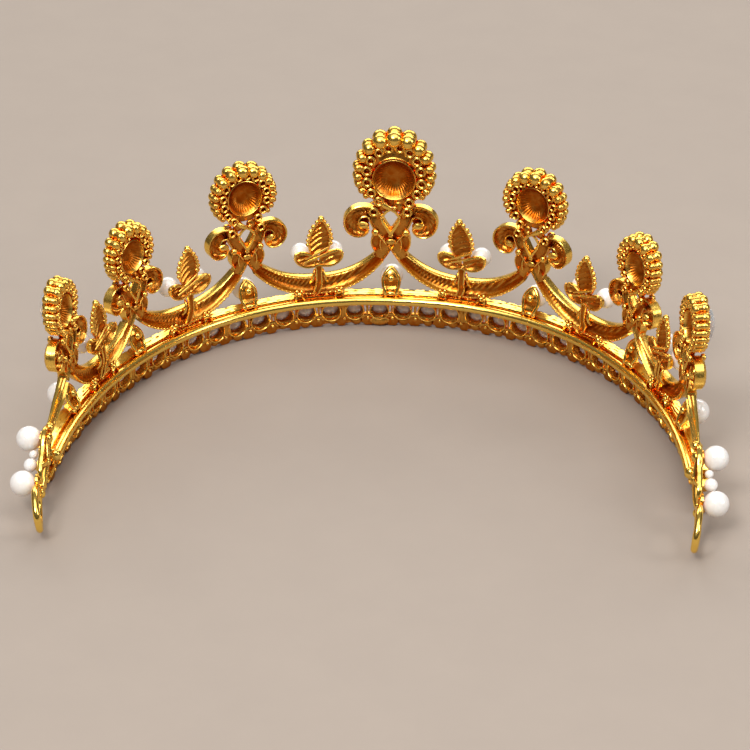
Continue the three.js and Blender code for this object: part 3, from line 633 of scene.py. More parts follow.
def band_stones():
    g = Geo()
    for c in (np.arange(-PER_SIDE, PER_SIDE) + 0.5) * PITCH:
        brilliant(g, (c, WINDOW_Z), 1.98, 3.6, 0.95, 1.75)
    return g.build("band_crystals", CRYSTAL, "band_stones", angle=8)


# ------------------------------------------------------------------ medallions
def medallion(label, sign, i):
    s0, k, q, hub, cup = ARCS[i], CUP_SCALE[i], BRACKET_SCALE[i], HUB_Z[i], CUP_Z[i]
    g = Geo(mirror=sign)
    sc = s0 - (0.85 if i == 0 else 0.0)     # the middle cup sits a little to one side
    crown_b = [10.3, 8.7, 9.1, 9.1][i]       # height of the bead row over the cup's middle
    set_b = 8.0 if i == 0 else 7.4
    # ---- dish: ribbed cup, rim, plate, edge and front bezel, one turned oval
    prof = [(0, 0, 2.85)]
    for t in np.linspace(0.05, 1, 24):
        prof.append((4.85 * t, 5.5 * t, 2.85 - 2.1 * t ** 3.0))
    prof += [(4.98, 5.63, 0.5), (5.12, 5.77, 0.36), (5.3, 5.95, 0.45), (5.42, 6.1, 0.9), (5.6, 6.5, 1.15), (6.7, 0.5 * crown_b + 3.15, 1.2), (7.6, crown_b - 0.85, 1.25),
             (8.1, crown_b - 0.2, 1.5), (8.4, crown_b + 0.1, 2.0), (8.4, crown_b + 0.1, 2.8), (8.0, crown_b - 0.2, 3.3), (7.8, crown_b - 0.7, 3.4), (6.2, 8.0, 3.35), (5.7, 7.5, 3.5),
             (5.6, 7.3, 4.2), (5.4, 7.05, 4.4), (5.15, 6.8, 4.3), (5.05, 6.7, 3.6), (0, 0, 3.55)]
    P = np.array(prof)
    P[:, :2] *= k
    # painted shade: the ribbed cup and the plate under the bead row are darkened
    painted_shade = np.zeros(len(P))
    painted_shade[:25] = np.concatenate([[1], np.interp(np.linspace(0.05, 1, 24), [0, 0.9, 0.98, 1], [1.0, 1.0, 0.6, 0.1])])
    painted_shade[29:33] = 0.65

    def shape(R, ph, pr):
        R[:30, :, 1] = cup + [-0.80, 0.05, -0.2, -0.2][i] + (R[:30, :, 1] - cup) * (0.91 if i == 0 else 0.95)
        low = np.sin(ph) < 0
        b = pr[:, 1]
        over = b > 7.3 * k
        f = np.where(over, (7.3 * k + (b - 7.3 * k) * 0.45) / np.maximum(b, 1e-6), 1.0)
        R[:, low, 1] = cup + (R[:, low, 1] - cup) * f[:, None]
        ribs = np.arange(1, 25)
        fade = np.linspace(0.05, 1, 24)
        wave = np.abs(np.sin(ph * 18)) ** 0.8
        R[ribs, :, 2] += 0.13 * (0.5 - wave)[None, :] * (fade ** 1.3)[:, None] * (1 - smooth(fade, 0.92, 1.0))[:, None]
        return R

    g.lathe((sc, cup, 0), P, n=144, rib=shape, painted_shade=painted_shade)
    # ---- beads over the top, each cast with a second one behind it
    jr = np.random.default_rng(40 + i)
    steps = np.cumsum([0, 22.4, 20.9, 18.0, 15.7, 14.2, 13.4, 12.8, 12.3])
    radii = [2.02, 1.90, 1.64, 1.40, 1.26, 1.17, 1.10, 1.02, 0.92]
    for j in range(-8, 9):
        th = math.radians(steps[abs(j)] * (1 if j > 0 else -1))
        r = radii[abs(j)] * k
        e = jr.normal(size=4) * 0.03
        cx, cz = (8.85 if i == 0 else 9.0) * k * math.sin(th), (crown_b if math.cos(th) > 0 else 9.6) * k * math.cos(th)
        if math.cos(th) < 0:
            cz *= 0.86
        near = min(1.0, abs(j) / 4)
        g.ball((sc + cx, cup + cz, 3.1 - 0.75 * near), r * (1 + e[0]), 20, 13, sc=(1, 1, 0.95 + 0.25 * near))
        g.ball((sc + cx * 0.97 + e[1], cup + cz * (0.965 + 0.015 * near) + e[2], 0.85 + 0.35 * near), r * (0.95 + 0.04 * near) * (1 + e[3]), 20, 13, sc=(1.04, 0.98, 0.88 + 0.2 * near))
        # painted shade on the stalks behind the beads
        g.tube(np.array([[sc + cx, cup + cz, 0.9], [sc + cx, cup + cz, 1.8], [sc + cx, cup + cz, 2.6]]), (0.78 + 0.1 * near) * r, k=10, painted_shade=0.3)
    # ---- small open settings round the cup
    ring = np.array([[1.38, 1.35], [1.42, 0.62], [1.30, 0.20], [1.02, 0.02], [0.74, 0.14], [0.58, 0.45], [0.5, 1.0], [0.48, 1.35]]) * [k, 1]
    # painted shade inside each setting's ring and on the bead in it
    rtone = [0.2, 0, 0, 0, 0, 0.5, 1, 1]
    spots = []
    for j in range(16):
        th = math.radians(22.5 * (j + 0.5))
        if abs(math.degrees(th) - 180) < 15:
            continue
        spots.append((6.7 * k * math.sin(th) + sc - s0, (set_b if math.cos(th) > 0 else 8.1) * k * math.cos(th) + cup))
    spots += [(-4.1 * q, hub + 8.3 * q), (4.1 * q, hub + 8.3 * q)]
    for a, b in spots:
        e = jr.normal(size=3) * 0.08
        g.lathe((s0 + a + e[0], b + e[1], 0.12 * e[2]), ring * [1 + 0.4 * e[2], 1], n=18, closed=True, painted_shade=rtone)
        g.ball((s0 + a, b, 1.15), 0.36 * k, 10, 7, painted_shade=0.5)
        # the collet's front side
        g.lathe((s0 + a, b, 0), np.array([[1.22, 3.2], [1.24, 3.75], [1.1, 4.0], [0.95, 3.85], [0.92, 3.2]]) * [k, 1], n=18, closed=True)

    # ---- the two crossing arms with their scrolls
    def arm(m, lift):
        pts = np.array([
            (-3.2, -4.95, 1.42), (-2.15, -3.1, 1.6), (-0.75, -0.75, 1.6), (0.75, 1.35, 1.65), (2.3, 3.5, 1.75), (3.4, 5.6, 1.7),
            (4.2, 7.25, 1.55), (5.8, 8.1, 1.45), (7.9, 7.85, 1.65), (9.35, 6.4, 1.85), (9.5, 4.45, 1.85), (8.4, 2.95, 1.7),
            (7.0, 2.75, 1.35), (6.35, 3.6, 1.05), (6.7, 4.4, 0.75)])
        pts = pts * [q * m, q, q]
        C = spline(pts, 0.22)
        n = len(C)
        P2 = C[:, :2] + [s0, hub]
        half = C[:, 2]
        M = 19
        t = np.linspace(-1, 1, M)[None, :]
        L = np.linspace(0, 1, n)[:, None]
        run = np.arange(n)[:, None] * 0.22
        scroll = smooth(L, 0.42, 0.58)
        hollow = (0.75 + 0.95 * scroll) * (1 - 0.6 * smooth(L, 0.86, 1.0))
        valley = hollow * np.clip(1 - np.abs(t) ** 3.0, 0, 1) ** 0.8
        rib = 0.22 * (gadroon((run - 0.9 * half[:, None] * t * m) / (1.1 * q)) - 0.5) * smooth(1 - np.abs(t), 0.05, 0.35)
        rib = rib * (0.12 + 0.88 * scroll) * (1 - smooth(L, 0.9, 0.97))
        bulb = 1.0 * smooth(L, 0.90, 1.0) * (1 - t ** 2)
        rear = 0.85 + lift + valley - rib - bulb
        rear = rear - 0.12 * smooth(np.abs(t), 0.84, 0.95) * (1 - smooth(np.abs(t), 0.97, 1.0))
        # painted shade: darker down the arm's hollow valley, less on rib crests and at the curled end
        dark = np.clip(1 - np.abs(t) ** 4, 0, 1) * (0.75 + 0.15 * scroll) * (1 - smooth(L, 0.88, 0.95)) * (0.85 - 0.6 * rib / 0.22 * scroll)
        front = 3.35 - 0.7 * np.abs(t) ** 2.2 + 0.22 * (gadroon((run - 0.9 * half[:, None] * t * m) / (1.25 * q)) - 0.5) * smooth(1 - np.abs(t), 0.05, 0.35)
        front = np.maximum(front, rear + 0.45)
        g.sweep(P2, half, rear, front, painted_shade=dark)
        # bright rim wires along both edges
        T = np.gradient(P2, axis=0)
        T /= np.linalg.norm(T, axis=1)[:, None]
        A = np.stack([-T[:, 1], T[:, 0]], -1)
        a0 = int(n * 0.36)
        out = P2 + A * (half * m)[:, None] * 0.93
        g.tube(np.concatenate([out[a0:], np.full((n - a0, 1), 0.72 + lift)], 1)[::2], 0.27 * q, k=7)
        inn = P2 - A * (half * m)[:, None] * 0.93
        b0 = int(n * 0.22)
        g.tube(np.concatenate([inn[b0:int(n * 0.9)], np.full((int(n * 0.9) - b0, 1), 0.74 + lift)], 1)[::2], 0.22 * q, k=7)
        # curled end: a bright tongue inside the scroll
        g.ball((s0 + 6.6 * q * m, hub + 4.35 * q, 1.0), 1.1 * q, 18, 12, sc=(1.3, 0.9, 0.85))
        tongue = spline(np.array([(5.7, 3.6, 0.75), (5.9, 4.7, 0.5), (6.9, 5.15, 0.55), (7.9, 4.8, 0.9)]) * [q * m, q, 1] + [s0, hub, 0], 0.25)
        g.tube(tongue, 0.44 * q, k=9)
        # the scroll is closed behind its tongue
        back = [(0, 2.35), (1.2, 2.3), (1.9, 2.2), (2.2, 2.3), (2.25, 2.7), (1.8, 3.0), (0, 3.1)]
        # painted shade on the hollow behind the tongue
        g.lathe((s0 + 7.2 * q * m, hub + 5.5 * q, 0), back, n=20, a=q, b=0.95 * q, painted_shade=[0.95] * 4 + [0, 0, 0])

    arm(1, 0.0)
    arm(-1, 0.12)
    for m in (1, -1):
        # bead between scroll and arm, and the lobe under it
        g.ball((s0 + 3.75 * q * m, hub + 2.5 * q, 0.75), 1.0 * q, 18, 12)
        lobe = spline(np.array([(2.5, 1.7, 0.9), (3.4, 0.8, 1.15), (3.7, -0.4, 1.15), (3.5, -1.6, 1.0), (3.1, -2.7, 0.8)]) * [q * m, q, q], 0.22)
        t = np.linspace(-1, 1, 13)[None, :]
        run = np.arange(len(lobe))[:, None] * 0.22
        rear = 0.9 + 0.7 * np.clip(1 - np.abs(t) ** 2.5, 0, 1) - 0.12 * gadroon((run - 0.8 * t * m) / 0.95) * (1 - t ** 2)
        # painted shade across the lobe's hollow
        g.sweep(lobe[:, :2] + [s0, hub], lobe[:, 2], rear, np.full(rear.shape, 2.9), painted_shade=0.85 * (1 - t ** 4) + 0 * run)
        T = np.gradient(lobe[:, :2], axis=0)
        T /= np.linalg.norm(T, axis=1)[:, None]
        A = np.stack([-T[:, 1], T[:, 0]], -1)
        for e in (1, -1):
            rim = lobe[:, :2] + A * lobe[:, 2:3] * 0.94 * e + [s0, hub]
            g.tube(np.concatenate([rim, np.full((len(rim), 1), 0.85)], 1)[::2], 0.2 * q, k=7)
        # bevelled edges of the lozenge opening
        e = np.array([[0.0, 2.25, 0.55], [0.95 * m, 3.7, 0.5], [1.9 * m, 5.3, 0.5], [2.2 * m, 6.3, 0.55]]) * [q, q, 1] + [s0, hub, 0]
        g.tube(e, np.array([0.55, 0.44, 0.42, 0.34]) * q, k=8, flat=0.8)
        e = np.array([[0.1 * m, 8.8, 0.7], [1.2 * m, 8.2, 0.55], [2.2 * m, 6.8, 0.6]]) * [q, q, 1] + [s0, hub, 0]
        g.tube(e, 0.42 * q, k=8, flat=0.8)
        # webs that close the corners beside the lozenge, under the cup
        # painted shade on the webs and the middle knob
        g.ball((s0 + 1.9 * q * m, hub + 9.3 * q, 1.5), 1.35 * q, 16, 11, sc=(1.1, 1.1, 0.55), painted_shade=0.6)
        g.ball((s0 + 3.0 * q * m, hub + 7.2 * q, 1.6), 1.2 * q, 16, 11, sc=(0.9, 1.2, 0.55), painted_shade=0.6)
    g.ball((s0, hub - 0.1 * q, 0.78), 0.85 * q, sc=(1.5, 1.0, 0.6), painted_shade=0.35)
    g.ball((s0, hub + 1.65 * q, 0.6), 0.6 * q, sc=(1.2, 0.9, 0.7))
    # little folded ribbon where the cup meets the bracket
    e = np.array([[3.0, 10.9, 0.7], [1.5, 9.9, 0.4], [0.1, 9.1, 0.45]]) * [q, q, 1] + [s0, hub, 0]
    g.tube(e, np.array([0.5, 0.75, 0.55]) * q, k=10, flat=0.5)
    g.ball((s0 - 1.0 * q, hub + 9.35 * q, 0.45), 0.6 * q)
    g.build("medallion_" + label + "_frame", GOLD, "medallion_" + label)

    # ---- stones of this medallion: oval crystal and the small round ones
    c = Geo(mirror=sign)
    n = 20
    a = 2 * np.pi * np.arange(n) / n
    steps = [(0.50, 0.50, 6.15), (0.80, 0.80, 5.55), (0.98, 0.98, 4.35), (0.98, 0.98, 4.1), (0.72, 0.72, 3.72)]
    R = np.array([np.stack([s0 + 5.0 * k * f * np.cos(a), cup + 6.5 * k * f2 * np.sin(a), np.full(n, w)], -1) for f, f2, w in steps])
    R[..., 0] += sc - s0
    c.poled(R, np.array([[sc, cup, 6.15], [sc, cup, 3.72]]))
    for x, z in spots:
        brilliant(c, (s0 + x, z), 0.95 * k, 3.75, 0.55, 0.5, n=6)
    c.build("medallion_" + label + "_crystals", CRYSTAL, "medallion_stone_" + label, angle=8)


# ------------------------------------------------------------------ swags
def swag_line(s, mid, ends):
    e = np.where(s < mid, 0, 1)
    es = np.array([ends[0][0], ends[1][0]])[e]
    ez = np.array([ends[0][1], ends[1][1]])[e]
    x = np.abs(s - mid) / np.abs(es - mid)
    z = SWAG_MID_Z + (ez - SWAG_MID_Z) * x ** SWAG_POWER
    slope = SWAG_POWER * (ez - SWAG_MID_Z) * x ** (SWAG_POWER - 1) / np.abs(es - mid) * np.where(s < mid, -1, 1)
    return z, slope, x


def channel_rings(P, A, h, out, inn, g_mirror, pitch=1.3, rib_amp=0.34, gate=None):
    """Closed section round a hollow-backed crescent: top ledge, ribbed hollow, lower rim, front.
    The ribs keep one direction on the whole piece, so they fan out along its curve."""
    N = len(P)
    low, top = -h, h
    ring, painted_shade = [], []
    gate = np.ones(N) if gate is None else gate

    def put(a, w, t=0.0):
        ring.append(np.concatenate([P + A * np.broadcast_to(a, (N,))[:, None], np.broadcast_to(w, (N,))[:, None]], 1))
        painted_shade.append(np.broadcast_to(t, (N,)))

    def rib(a):
        Q = P + A * np.broadcast_to(a, (N,))[:, None]
        return (gadroon((Q[:, 0] * g_mirror + Q[:, 1]) / pitch) - 0.45) * gate

    wl = inn + 0.35
    put(low + 0.02, wl + 0.85)
    put(low - 0.06, wl + 0.35)
    put(low, wl + 0.02)
    put(low + 0.2, wl - 0.2)
    put(low + 0.46, wl - 0.16)
    put(low + 0.62, wl + 0.12, 0.3)
    M = 14
    lo2, hi2 = low + 0.7, top - 0.62
    for j in range(M):
        t = j / (M - 1)
        a = lo2 + (hi2 - lo2) * t
        # shallow towards the lower rim, deep and round under the ledge
        bowl = max(0.0, math.sin(math.pi * min(1.0, 0.04 + 0.90 * t))) ** 0.70
        r_ = rib(a)
        amp = rib_amp * (0.35 + 0.65 * smooth(t, 0.25, 0.7)) * (0.3 + 0.7 * math.sin(math.pi * min(1.0, 0.05 + 0.93 * t)) ** 0.5)
        # painted shade: darker in the deep hollow under the ledge, less on rib crests
        dark = 0.95 * (1 - smooth(t, 0.62, 0.84)) * smooth(t, 0.02, 0.14) * np.clip(1.0 - 0.75 * np.clip(r_ / 0.55, 0, 1) ** 3 * smooth(t, 0.2, 0.6), 0, 1)
        put(a, wl + 0.12 + (out - wl - 0.75) * bowl - amp * r_, dark)
    put(top - 0.50, inn + 0.16 - 0.22 * rib(top - 0.5), 0.1)
    put(top - 0.36, inn - 0.02 - 0.18 * rib(top - 0.4))
    put(top - 0.16, inn - 0.02)
    put(top - 0.02, inn + 0.14)
    put(top + 0.05, inn + 0.7)
    put(top + 0.07, (inn + out) / 2)
    put(top + 0.03, out - 0.5)
    put(top - 0.15, out - 0.12)
    F = 11
    for j in range(F):
        t = j / (F - 1)
        a = (top - 0.4) + (low + 0.3 - (top - 0.4)) * t
        put(a, out + 0.28 * math.sin(math.pi * t) + 0.26 * rib(a) * math.sin(math.pi * min(1, 0.1 + t * 0.8)))
    return np.stack(ring, 1), np.stack(painted_shade, 1)


def swag(side, sign, i):
    sa, sb = ARCS[i], ARCS[i + 1]
    mid = (sa + sb) / 2
    ends = [(s + d * 2.95 * BRACKET_SCALE[j], HUB_Z[j] - 4.85 * BRACKET_SCALE[j]) for s, j, d in ((sa, i, 1), (sb, i + 1, -1))]
    g = Geo(mirror=sign)
    n = int((ends[1][0] - ends[0][0]) / 0.15)
    s = np.linspace(ends[0][0], ends[1][0], n)
    z, slope, x = swag_line(s, mid, ends)
    l = np.hypot(1, slope)
    A = np.stack([-slope / l, 1 / l], -1)
    P = np.stack([s, z], -1)
    h = SWAG_HALF + (SWAG_END_HALF - SWAG_HALF) * x ** 2
    R, T = channel_rings(P, A, h, 3.4, 0.85, sign, gate=1 - 0.65 * smooth(x, 0.80, 1.0))
    g.rings(R, painted_shade=T)
    # beads along the lower rim
    lowest = P - A * (h - 0.25)[:, None]
    step = 6
    for k in range(int(n * 0.08), int(n * 0.92), step):
        g.ball((lowest[k, 0], lowest[k, 1], 1.08), 0.27 + 0.05 * math.sin(k * 1.7), 9, 6)
    # curled flanges where the sprig's stem passes through the ledge
    c = SPRIG_ARCS[i]
    for m in (1, -1):
        zc = float(np.interp(c + m * 1.5, s, z)) + SWAG_HALF
        g.tube(np.array([[c + m * 1.0, zc + 1.9, 1.1], [c + m * 1.2, zc + 1.0, 0.5], [c + m * 1.5, zc + 0.1, 0.38], [c + m * 1.75, zc - 0.8, 0.5], [c + m * 2.2, zc - 1.5, 0.9]]),
               np.array([0.3, 0.42, 0.46, 0.4, 0.25]), k=9)
    g.build("swag_%s_%d_crescent" % (side, i + 1), GOLD, "swag_%s_%d" % (side, i + 1))


def end_swag(side, sign):
    g = Geo(mirror=sign)
    q = BRACKET_SCALE[3]
    C = spline([(ARCS[3] + 3.2 * q, HUB_Z[3] - 4.85 * q, 1.5, 3.2), (103.6, 16.7, 1.75, 3.0), (107.0, 15.6, 1.7, 2.7), (110.5, 14.7, 1.6, 2.35),
                (114.0, 14.1, 1.5, 2.05), (117.6, 13.6, 1.35, 1.95)], 0.22)
    P = C[:, :2]
    T = np.gradient(P, axis=0)
    T /= np.linalg.norm(T, axis=1)[:, None]
    A = np.stack([-T[:, 1], T[:, 0]], -1)
    R, T2 = channel_rings(P, A, C[:, 2], 3.0, 0.85, sign, rib_amp=0.2)
    w = R[..., 2]
    R[..., 2] = 0.85 + (w - 0.85) * ((C[:, 3] - 0.85) / 2.4)[:, None]
    g.rings(R, painted_shade=T2)
    # end plate: a folded leaf with raised edge, wavy outline
    out = spline([(115.6, 12.2), (115.4, 15.2), (118.0, 16.6), (121.0, 16.0), (123.0, 14.2), (125.6, 12.9), (128.1, 11.4), (129.0, 8.6),
                  (128.6, 5.9), (126.5, 5.2), (124.4, 6.4), (122.4, 8.7), (118.8, 10.2)], 0.3, closed=True)
    cen = np.array([[122.0, 11.2]])
    rings = []
    for f, w in ((1.0, 1.6), (1.02, 1.15), (0.99, 0.75), (0.93, 0.62), (0.86, 0.78), (0.7, 1.05), (0.4, 1.15), (0.12, 1.1)):
        rings.append(np.concatenate([cen + (out - cen) * f, np.full((len(out), 1), w)], 1))
    front = []
    for f, w in ((0.12, 1.95), (0.5, 1.95), (0.85, 1.92), (0.97, 1.75)):
        front.append(np.concatenate([cen + (out - cen) * f, np.full((len(out), 1), w)], 1))
    R = np.array(rings[::-1] + front[::-1])
    R = np.array(rings[::-1])
    R2 = np.array(front[::-1])
    allr = np.concatenate([R, R2], 0)
    g.poled(allr, np.array([[cen[0, 0], cen[0, 1], 1.1], [cen[0, 0], cen[0, 1], 1.95]]))
    # knobs and cups behind the pearls, and the bow over the loop's root
    g.ball((118.4, 13.9, 0.75), 1.35, sc=(1, 1, 0.8))
    g.ball((116.1, 15.4, 0.75), 1.1)
    g.lathe((118.6, 13.6, 0), [(0, 1.2), (1.5, 1.3), (2.0, 1.7), (2.05, 2.3), (1.7, 2.45), (0, 2.2)], n=24)
    g.lathe((129.1 - 0.9, 8.5, 0), [(0, 1.2), (1.3, 1.3), (1.8, 1.7), (1.85, 2.3), (1.5, 2.45), (0, 2.2)], n=24)
    g.tube(np.array([[120.2, 14.6, 0.6], [122.2, 12.2, 0.35], [124.0, 9.4, 0.5], [124.4, 7.2, 0.8]]), np.array([0.5, 0.85, 0.8, 0.45]), k=10, flat=0.6)
    g.tube(np.array([[126.9, 12.0, 0.8], [124.6, 11.4, 0.3], [122.0, 9.9, 0.45], [120.8, 9.2, 0.8]]), np.array([0.45, 0.8, 0.8, 0.4]), k=10, flat=0.6)
    g.ball((123.7, 10.9, 0.35), 0.95)
    g.tube(np.array([[125.0, 10.0, 0.9], [127.2, 8.4, 1.0], [128.6, 7.6, 1.2]]), np.array([1.1, 1.05, 0.95]), k=12)
    g.build("end_swag_%s_casting" % side, GOLD_BRIGHT, "end_swag_" + side)
    # terminal loop: slightly flattened wire, a thicker shoulder at its root
    l = Geo(mirror=sign)
    a = np.linspace(0, 2 * np.pi, 65)[:-1]
    path = np.stack([LOOP_ARC + LOOP_A * np.cos(a), LOOP_Z + LOOP_B * np.sin(a), 1.35 + 0.10 * np.sin(2 * a) + (-0.55 if sign > 0 else -0.2) * np.cos(a)], -1)
    r = 0.86 + 0.16 * np.exp(-((a - np.pi) / 0.5) ** 2) + 0.03 * np.sin(5 * a)
    l.tube(path, r, k=14, closed=True, flat=0.95)
    l.ball((LOOP_ARC - LOOP_A - 0.1, LOOP_Z + 0.3, 1.3), 1.15, sc=(0.75, 1.1, 1.0))
    l.build("end_loop_%s_ring" % side, GOLD_BRIGHT, "end_loop_" + side)


# ------------------------------------------------------------------ sprigs
def sprig(side, sign, i):
    g = Geo(mirror=sign)
    c, tip = SPRIG_ARCS[i], SPRIG_TIP_Z[i]
    m = sign
    lean = [-0.9, -0.5, 0.3][i]
    base, top = 21.2, tip - 1.0
    N, M = 70, 27
    v = np.linspace(0, 1, N)
    hw = np.interp(v, [0, 0.1, 0.25, 0.42, 0.62, 0.8, 0.92, 1.0], [1.45, 2.1, 2.6, 2.75, 2.4, 1.65, 0.85, 0.25])
    hw = np.convolve(np.pad(hw, 4, mode="edge"), np.ones(9) / 9, "valid")
    zz = base + (top - base) * v
    t = np.linspace(-1, 1, M)
    off = lean * v
    S = np.stack([c + off[:, None] + hw[:, None] * t[None, :], np.repeat(zz[:, None], M, 1) + 0.35 * (1 - t[None, :] ** 2)], -1)
    # ribs climb towards the wearer's right, thin and sharp
    x = hw[:, None] * t[None, :]
    ph = (zz[:, None] - base + 0.50 * m * x) / 1.5
    crest = np.exp(-(((ph % 1.0) - 0.5) / 0.12) ** 2) * (0.25 + 0.75 * smooth(t, -0.45, 0.15))[None, :]
    edge = smooth(1 - np.abs(t), 0.02, 0.16)[None, :]
    fade = (smooth(v, 0.0, 0.05) * (1 - smooth(v, 0.86, 0.98)))[:, None]
    rear = 0.40 + 0.85 * (1 - t[None, :] ** 2) * np.sin(np.pi * np.clip(v, 0.06, 0.94))[:, None] - 0.42 * crest * edge * fade
    front = np.maximum(rear + 0.7, 1.35 - 0.25 * t[None, :] ** 2)
    # painted shade: darker between the ribs and away from the edges
    dark = (1 - crest) * 0.9 * edge * (1 - 0.4 * (1 - fade))
    g.shell(np.concatenate([S, rear[..., None]], -1), np.concatenate([S, front[..., None]], -1), dark)
    # beaded edges and tip ball
    jr = np.random.default_rng(60 + i)
    for sd in (1, -1):
        for f in np.linspace(0.30, 0.92, 6):
            xe = np.interp(f, v, hw)
            g.ball((c + lean * f + sd * xe * 1.02, base + (top - base) * f + 0.15, 0.62), 0.50 + 0.10 * jr.random() + 0.06 * math.sin(3.1 * f), 14, 9, sc=(1.1, 0.95, 0.9))
        rim = np.stack([c + off + sd * hw * 0.97, zz, 0.36 + 0 * v], -1)[::3]
        g.tube(rim, 0.27, k=7)
    g.ball((c + lean, tip - 0.85, 0.6), 0.84, 16, 11)
    # two boat shaped cups, hollow at the back
    for d in (1, -1):
        boat = spline([(0.2 * d, 20.0, 1.3), (1.6 * d, 19.85, 1.6), (2.9 * d, 20.1, 1.85), (4.15 * d, 20.8, 1.75), (4.9 * d, 21.6, 1.3), (5.2 * d, 22.3, 0.6)], 0.2)
        n = len(boat)
        tt = np.linspace(-1, 1, 17)[None, :] * d
        L = np.linspace(0, 1, n)[:, None]
        bowl = 1.0 * np.clip(1 - np.abs(tt) ** 2.6, 0, 1) * np.sin(np.pi * np.clip(L, 0.12, 0.95)) ** 0.6
        xb = boat[:, 0][:, None]
        zb = boat[:, 1][:, None] + boat[:, 2][:, None] * tt * d
        fold = np.exp(-((((zb + 0.45 * m * xb) / 1.5) % 1.0 - 0.5) / 0.18) ** 2) * (1 - tt ** 4)
        rear = -0.05 + bowl - 0.40 * fold * np.sin(np.pi * np.clip(L, 0.1, 0.9))
        up = tt * d
        # painted shade: darker in the lower part of each cup's hollow, less on its folds
        dk = (0.85 * (1 - smooth(up, 0.25, 0.7)) * (1 - fold * 0.9) * (1 - np.abs(tt) ** 6)) * smooth(1 - L, 0.02, 0.2)
        P2 = boat[:, :2] + [c, 0]
        T = np.gradient(boat[:, :2], axis=0)
        T /= np.linalg.norm(T, axis=1)[:, None]
        Av = np.stack([-T[:, 1], T[:, 0]], -1) * d
        a = boat[:, 2][:, None] * (tt * d)
        Sb = P2[:, None] + Av[:, None] * a[..., None]
        g.shell(np.concatenate([Sb, rear[..., None]], -1), np.concatenate([Sb, np.maximum(rear + 0.35, 0.95 + 0 * rear)[..., None]], -1), dk)
        for e in (1, -1):
            rim = P2 + Av * boat[:, 2:3] * 0.95 * e
            g.tube(np.concatenate([rim, np.full((n, 1), -0.02)], 1)[::2], 0.29 if e < 0 else 0.36, k=8)
    # long folds of the leaf's foot, running over the cups
    g.tube(np.array([[c + 3.2 * m, 20.7, -0.1], [c + 0.6 * m, 21.9, -0.25], [c - 2.4 * m, 23.2, 0.1]]), np.array([0.24, 0.36, 0.24]), k=8, flat=0.7)
    g.tube(np.array([[c + 3.7 * m, 19.7, -0.1], [c + 0.8 * m, 20.8, -0.3], [c - 2.8 * m, 22.1, 0.0]]), np.array([0.22, 0.34, 0.22]), k=8, flat=0.7)
    # stem: a groove between two bright edges, over the inside of the swag down to the band
    zs = np.array([19.4, 18.2, 17.0, 15.6, 14.2, 12.6, 11.2, 10.1])
    xs = np.array([0.0, 0.0, 0.0, 0.05, 0.05 * m, 0.1 * m, 0.5 * m, 1.2 * m])
    ws = np.array([0.35, 0.2, 0.1, -0.05, 0.1, 0.65, 0.8, 0.85])
    hs = np.array([1.1, 0.75, 0.62, 0.62, 0.66, 0.7, 0.62, 0.5])
    C = spline(np.stack([xs, zs, ws, hs], -1), 0.2)
    M = 11
    t = np.linspace(-1, 1, M)[None, :]
    rear = C[:, 2][:, None] + 0.38 * (1 - t ** 2)
    # painted shade in the stem's groove
    g.sweep(C[:, :2] + [c, 0], C[:, 3], rear, rear * 0 + C[:, 2][:, None] + 0.75, painted_shade=0.9 * (1 - t ** 4) + 0 * C[:, 2][:, None])
    T = np.gradient(C[:, :2], axis=0)
    T /= np.linalg.norm(T, axis=1)[:, None]
    Av = np.stack([-T[:, 1], T[:, 0]], -1)
    for e in (1, -1):
        g.tube(np.concatenate([C[:, :2] + Av * C[:, 3:4] * e + [c, 0], C[:, 2:3] - 0.02], 1)[::2], 0.25, k=8)
    g.build("sprig_%s_%d_leaf" % (side, i + 1), GOLD, "sprig_%s_%d" % (side, i + 1))


# ------------------------------------------------------------------ pearls
def pearls():
    nu, nv = 48, 30
    th = np.pi * np.arange(1, nv) / nv
    ph = 2 * np.pi * np.arange(nu) / nu
    D = np.stack([np.outer(np.sin(th), np.cos(ph)), np.outer(np.sin(th), np.sin(ph)), np.outer(np.cos(th), np.ones(nu))], -1)
    for name in sorted(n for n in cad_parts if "_pearl_" in n):
        lo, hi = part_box(name)
        c = (np.array(lo) + np.array(hi)) / 2
        r = (hi[2] - lo[2]) / 2
        f = rng.normal(size=6) * 0.004
        P = np.vstack([D.reshape(-1, 3), [[0, 0, 1], [0, 0, -1]]])
        k = 1 + f[0] * P[:, 0] * P[:, 1] + f[1] * P[:, 2] ** 2 + f[2] * P[:, 0] * P[:, 2] + f[3] * np.sin(3 * P[:, 1])
        # a slightly irregular sphere; no drilled dimple is made
        V = P * (k * r)[:, None] + c
        N = nv - 1
        faces = []
        for i in range(N - 1):
            for j in range(nu):
                j2 = (j + 1) % nu
                faces.append((i * nu + j, (i + 1) * nu + j, (i + 1) * nu + j2, i * nu + j2))
        for j in range(nu):
            j2 = (j + 1) % nu
            faces.append((N * nu, j, j2))
            faces.append((N * nu + 1, (N - 1) * nu + j2, (N - 1) * nu + j))
        me = bpy.data.meshes.new(name + "_bead")
        me.from_pydata(V.tolist(), [], faces)
        me.update()
        me.shade_smooth()
        place(me, name + "_bead", PEARL, name)


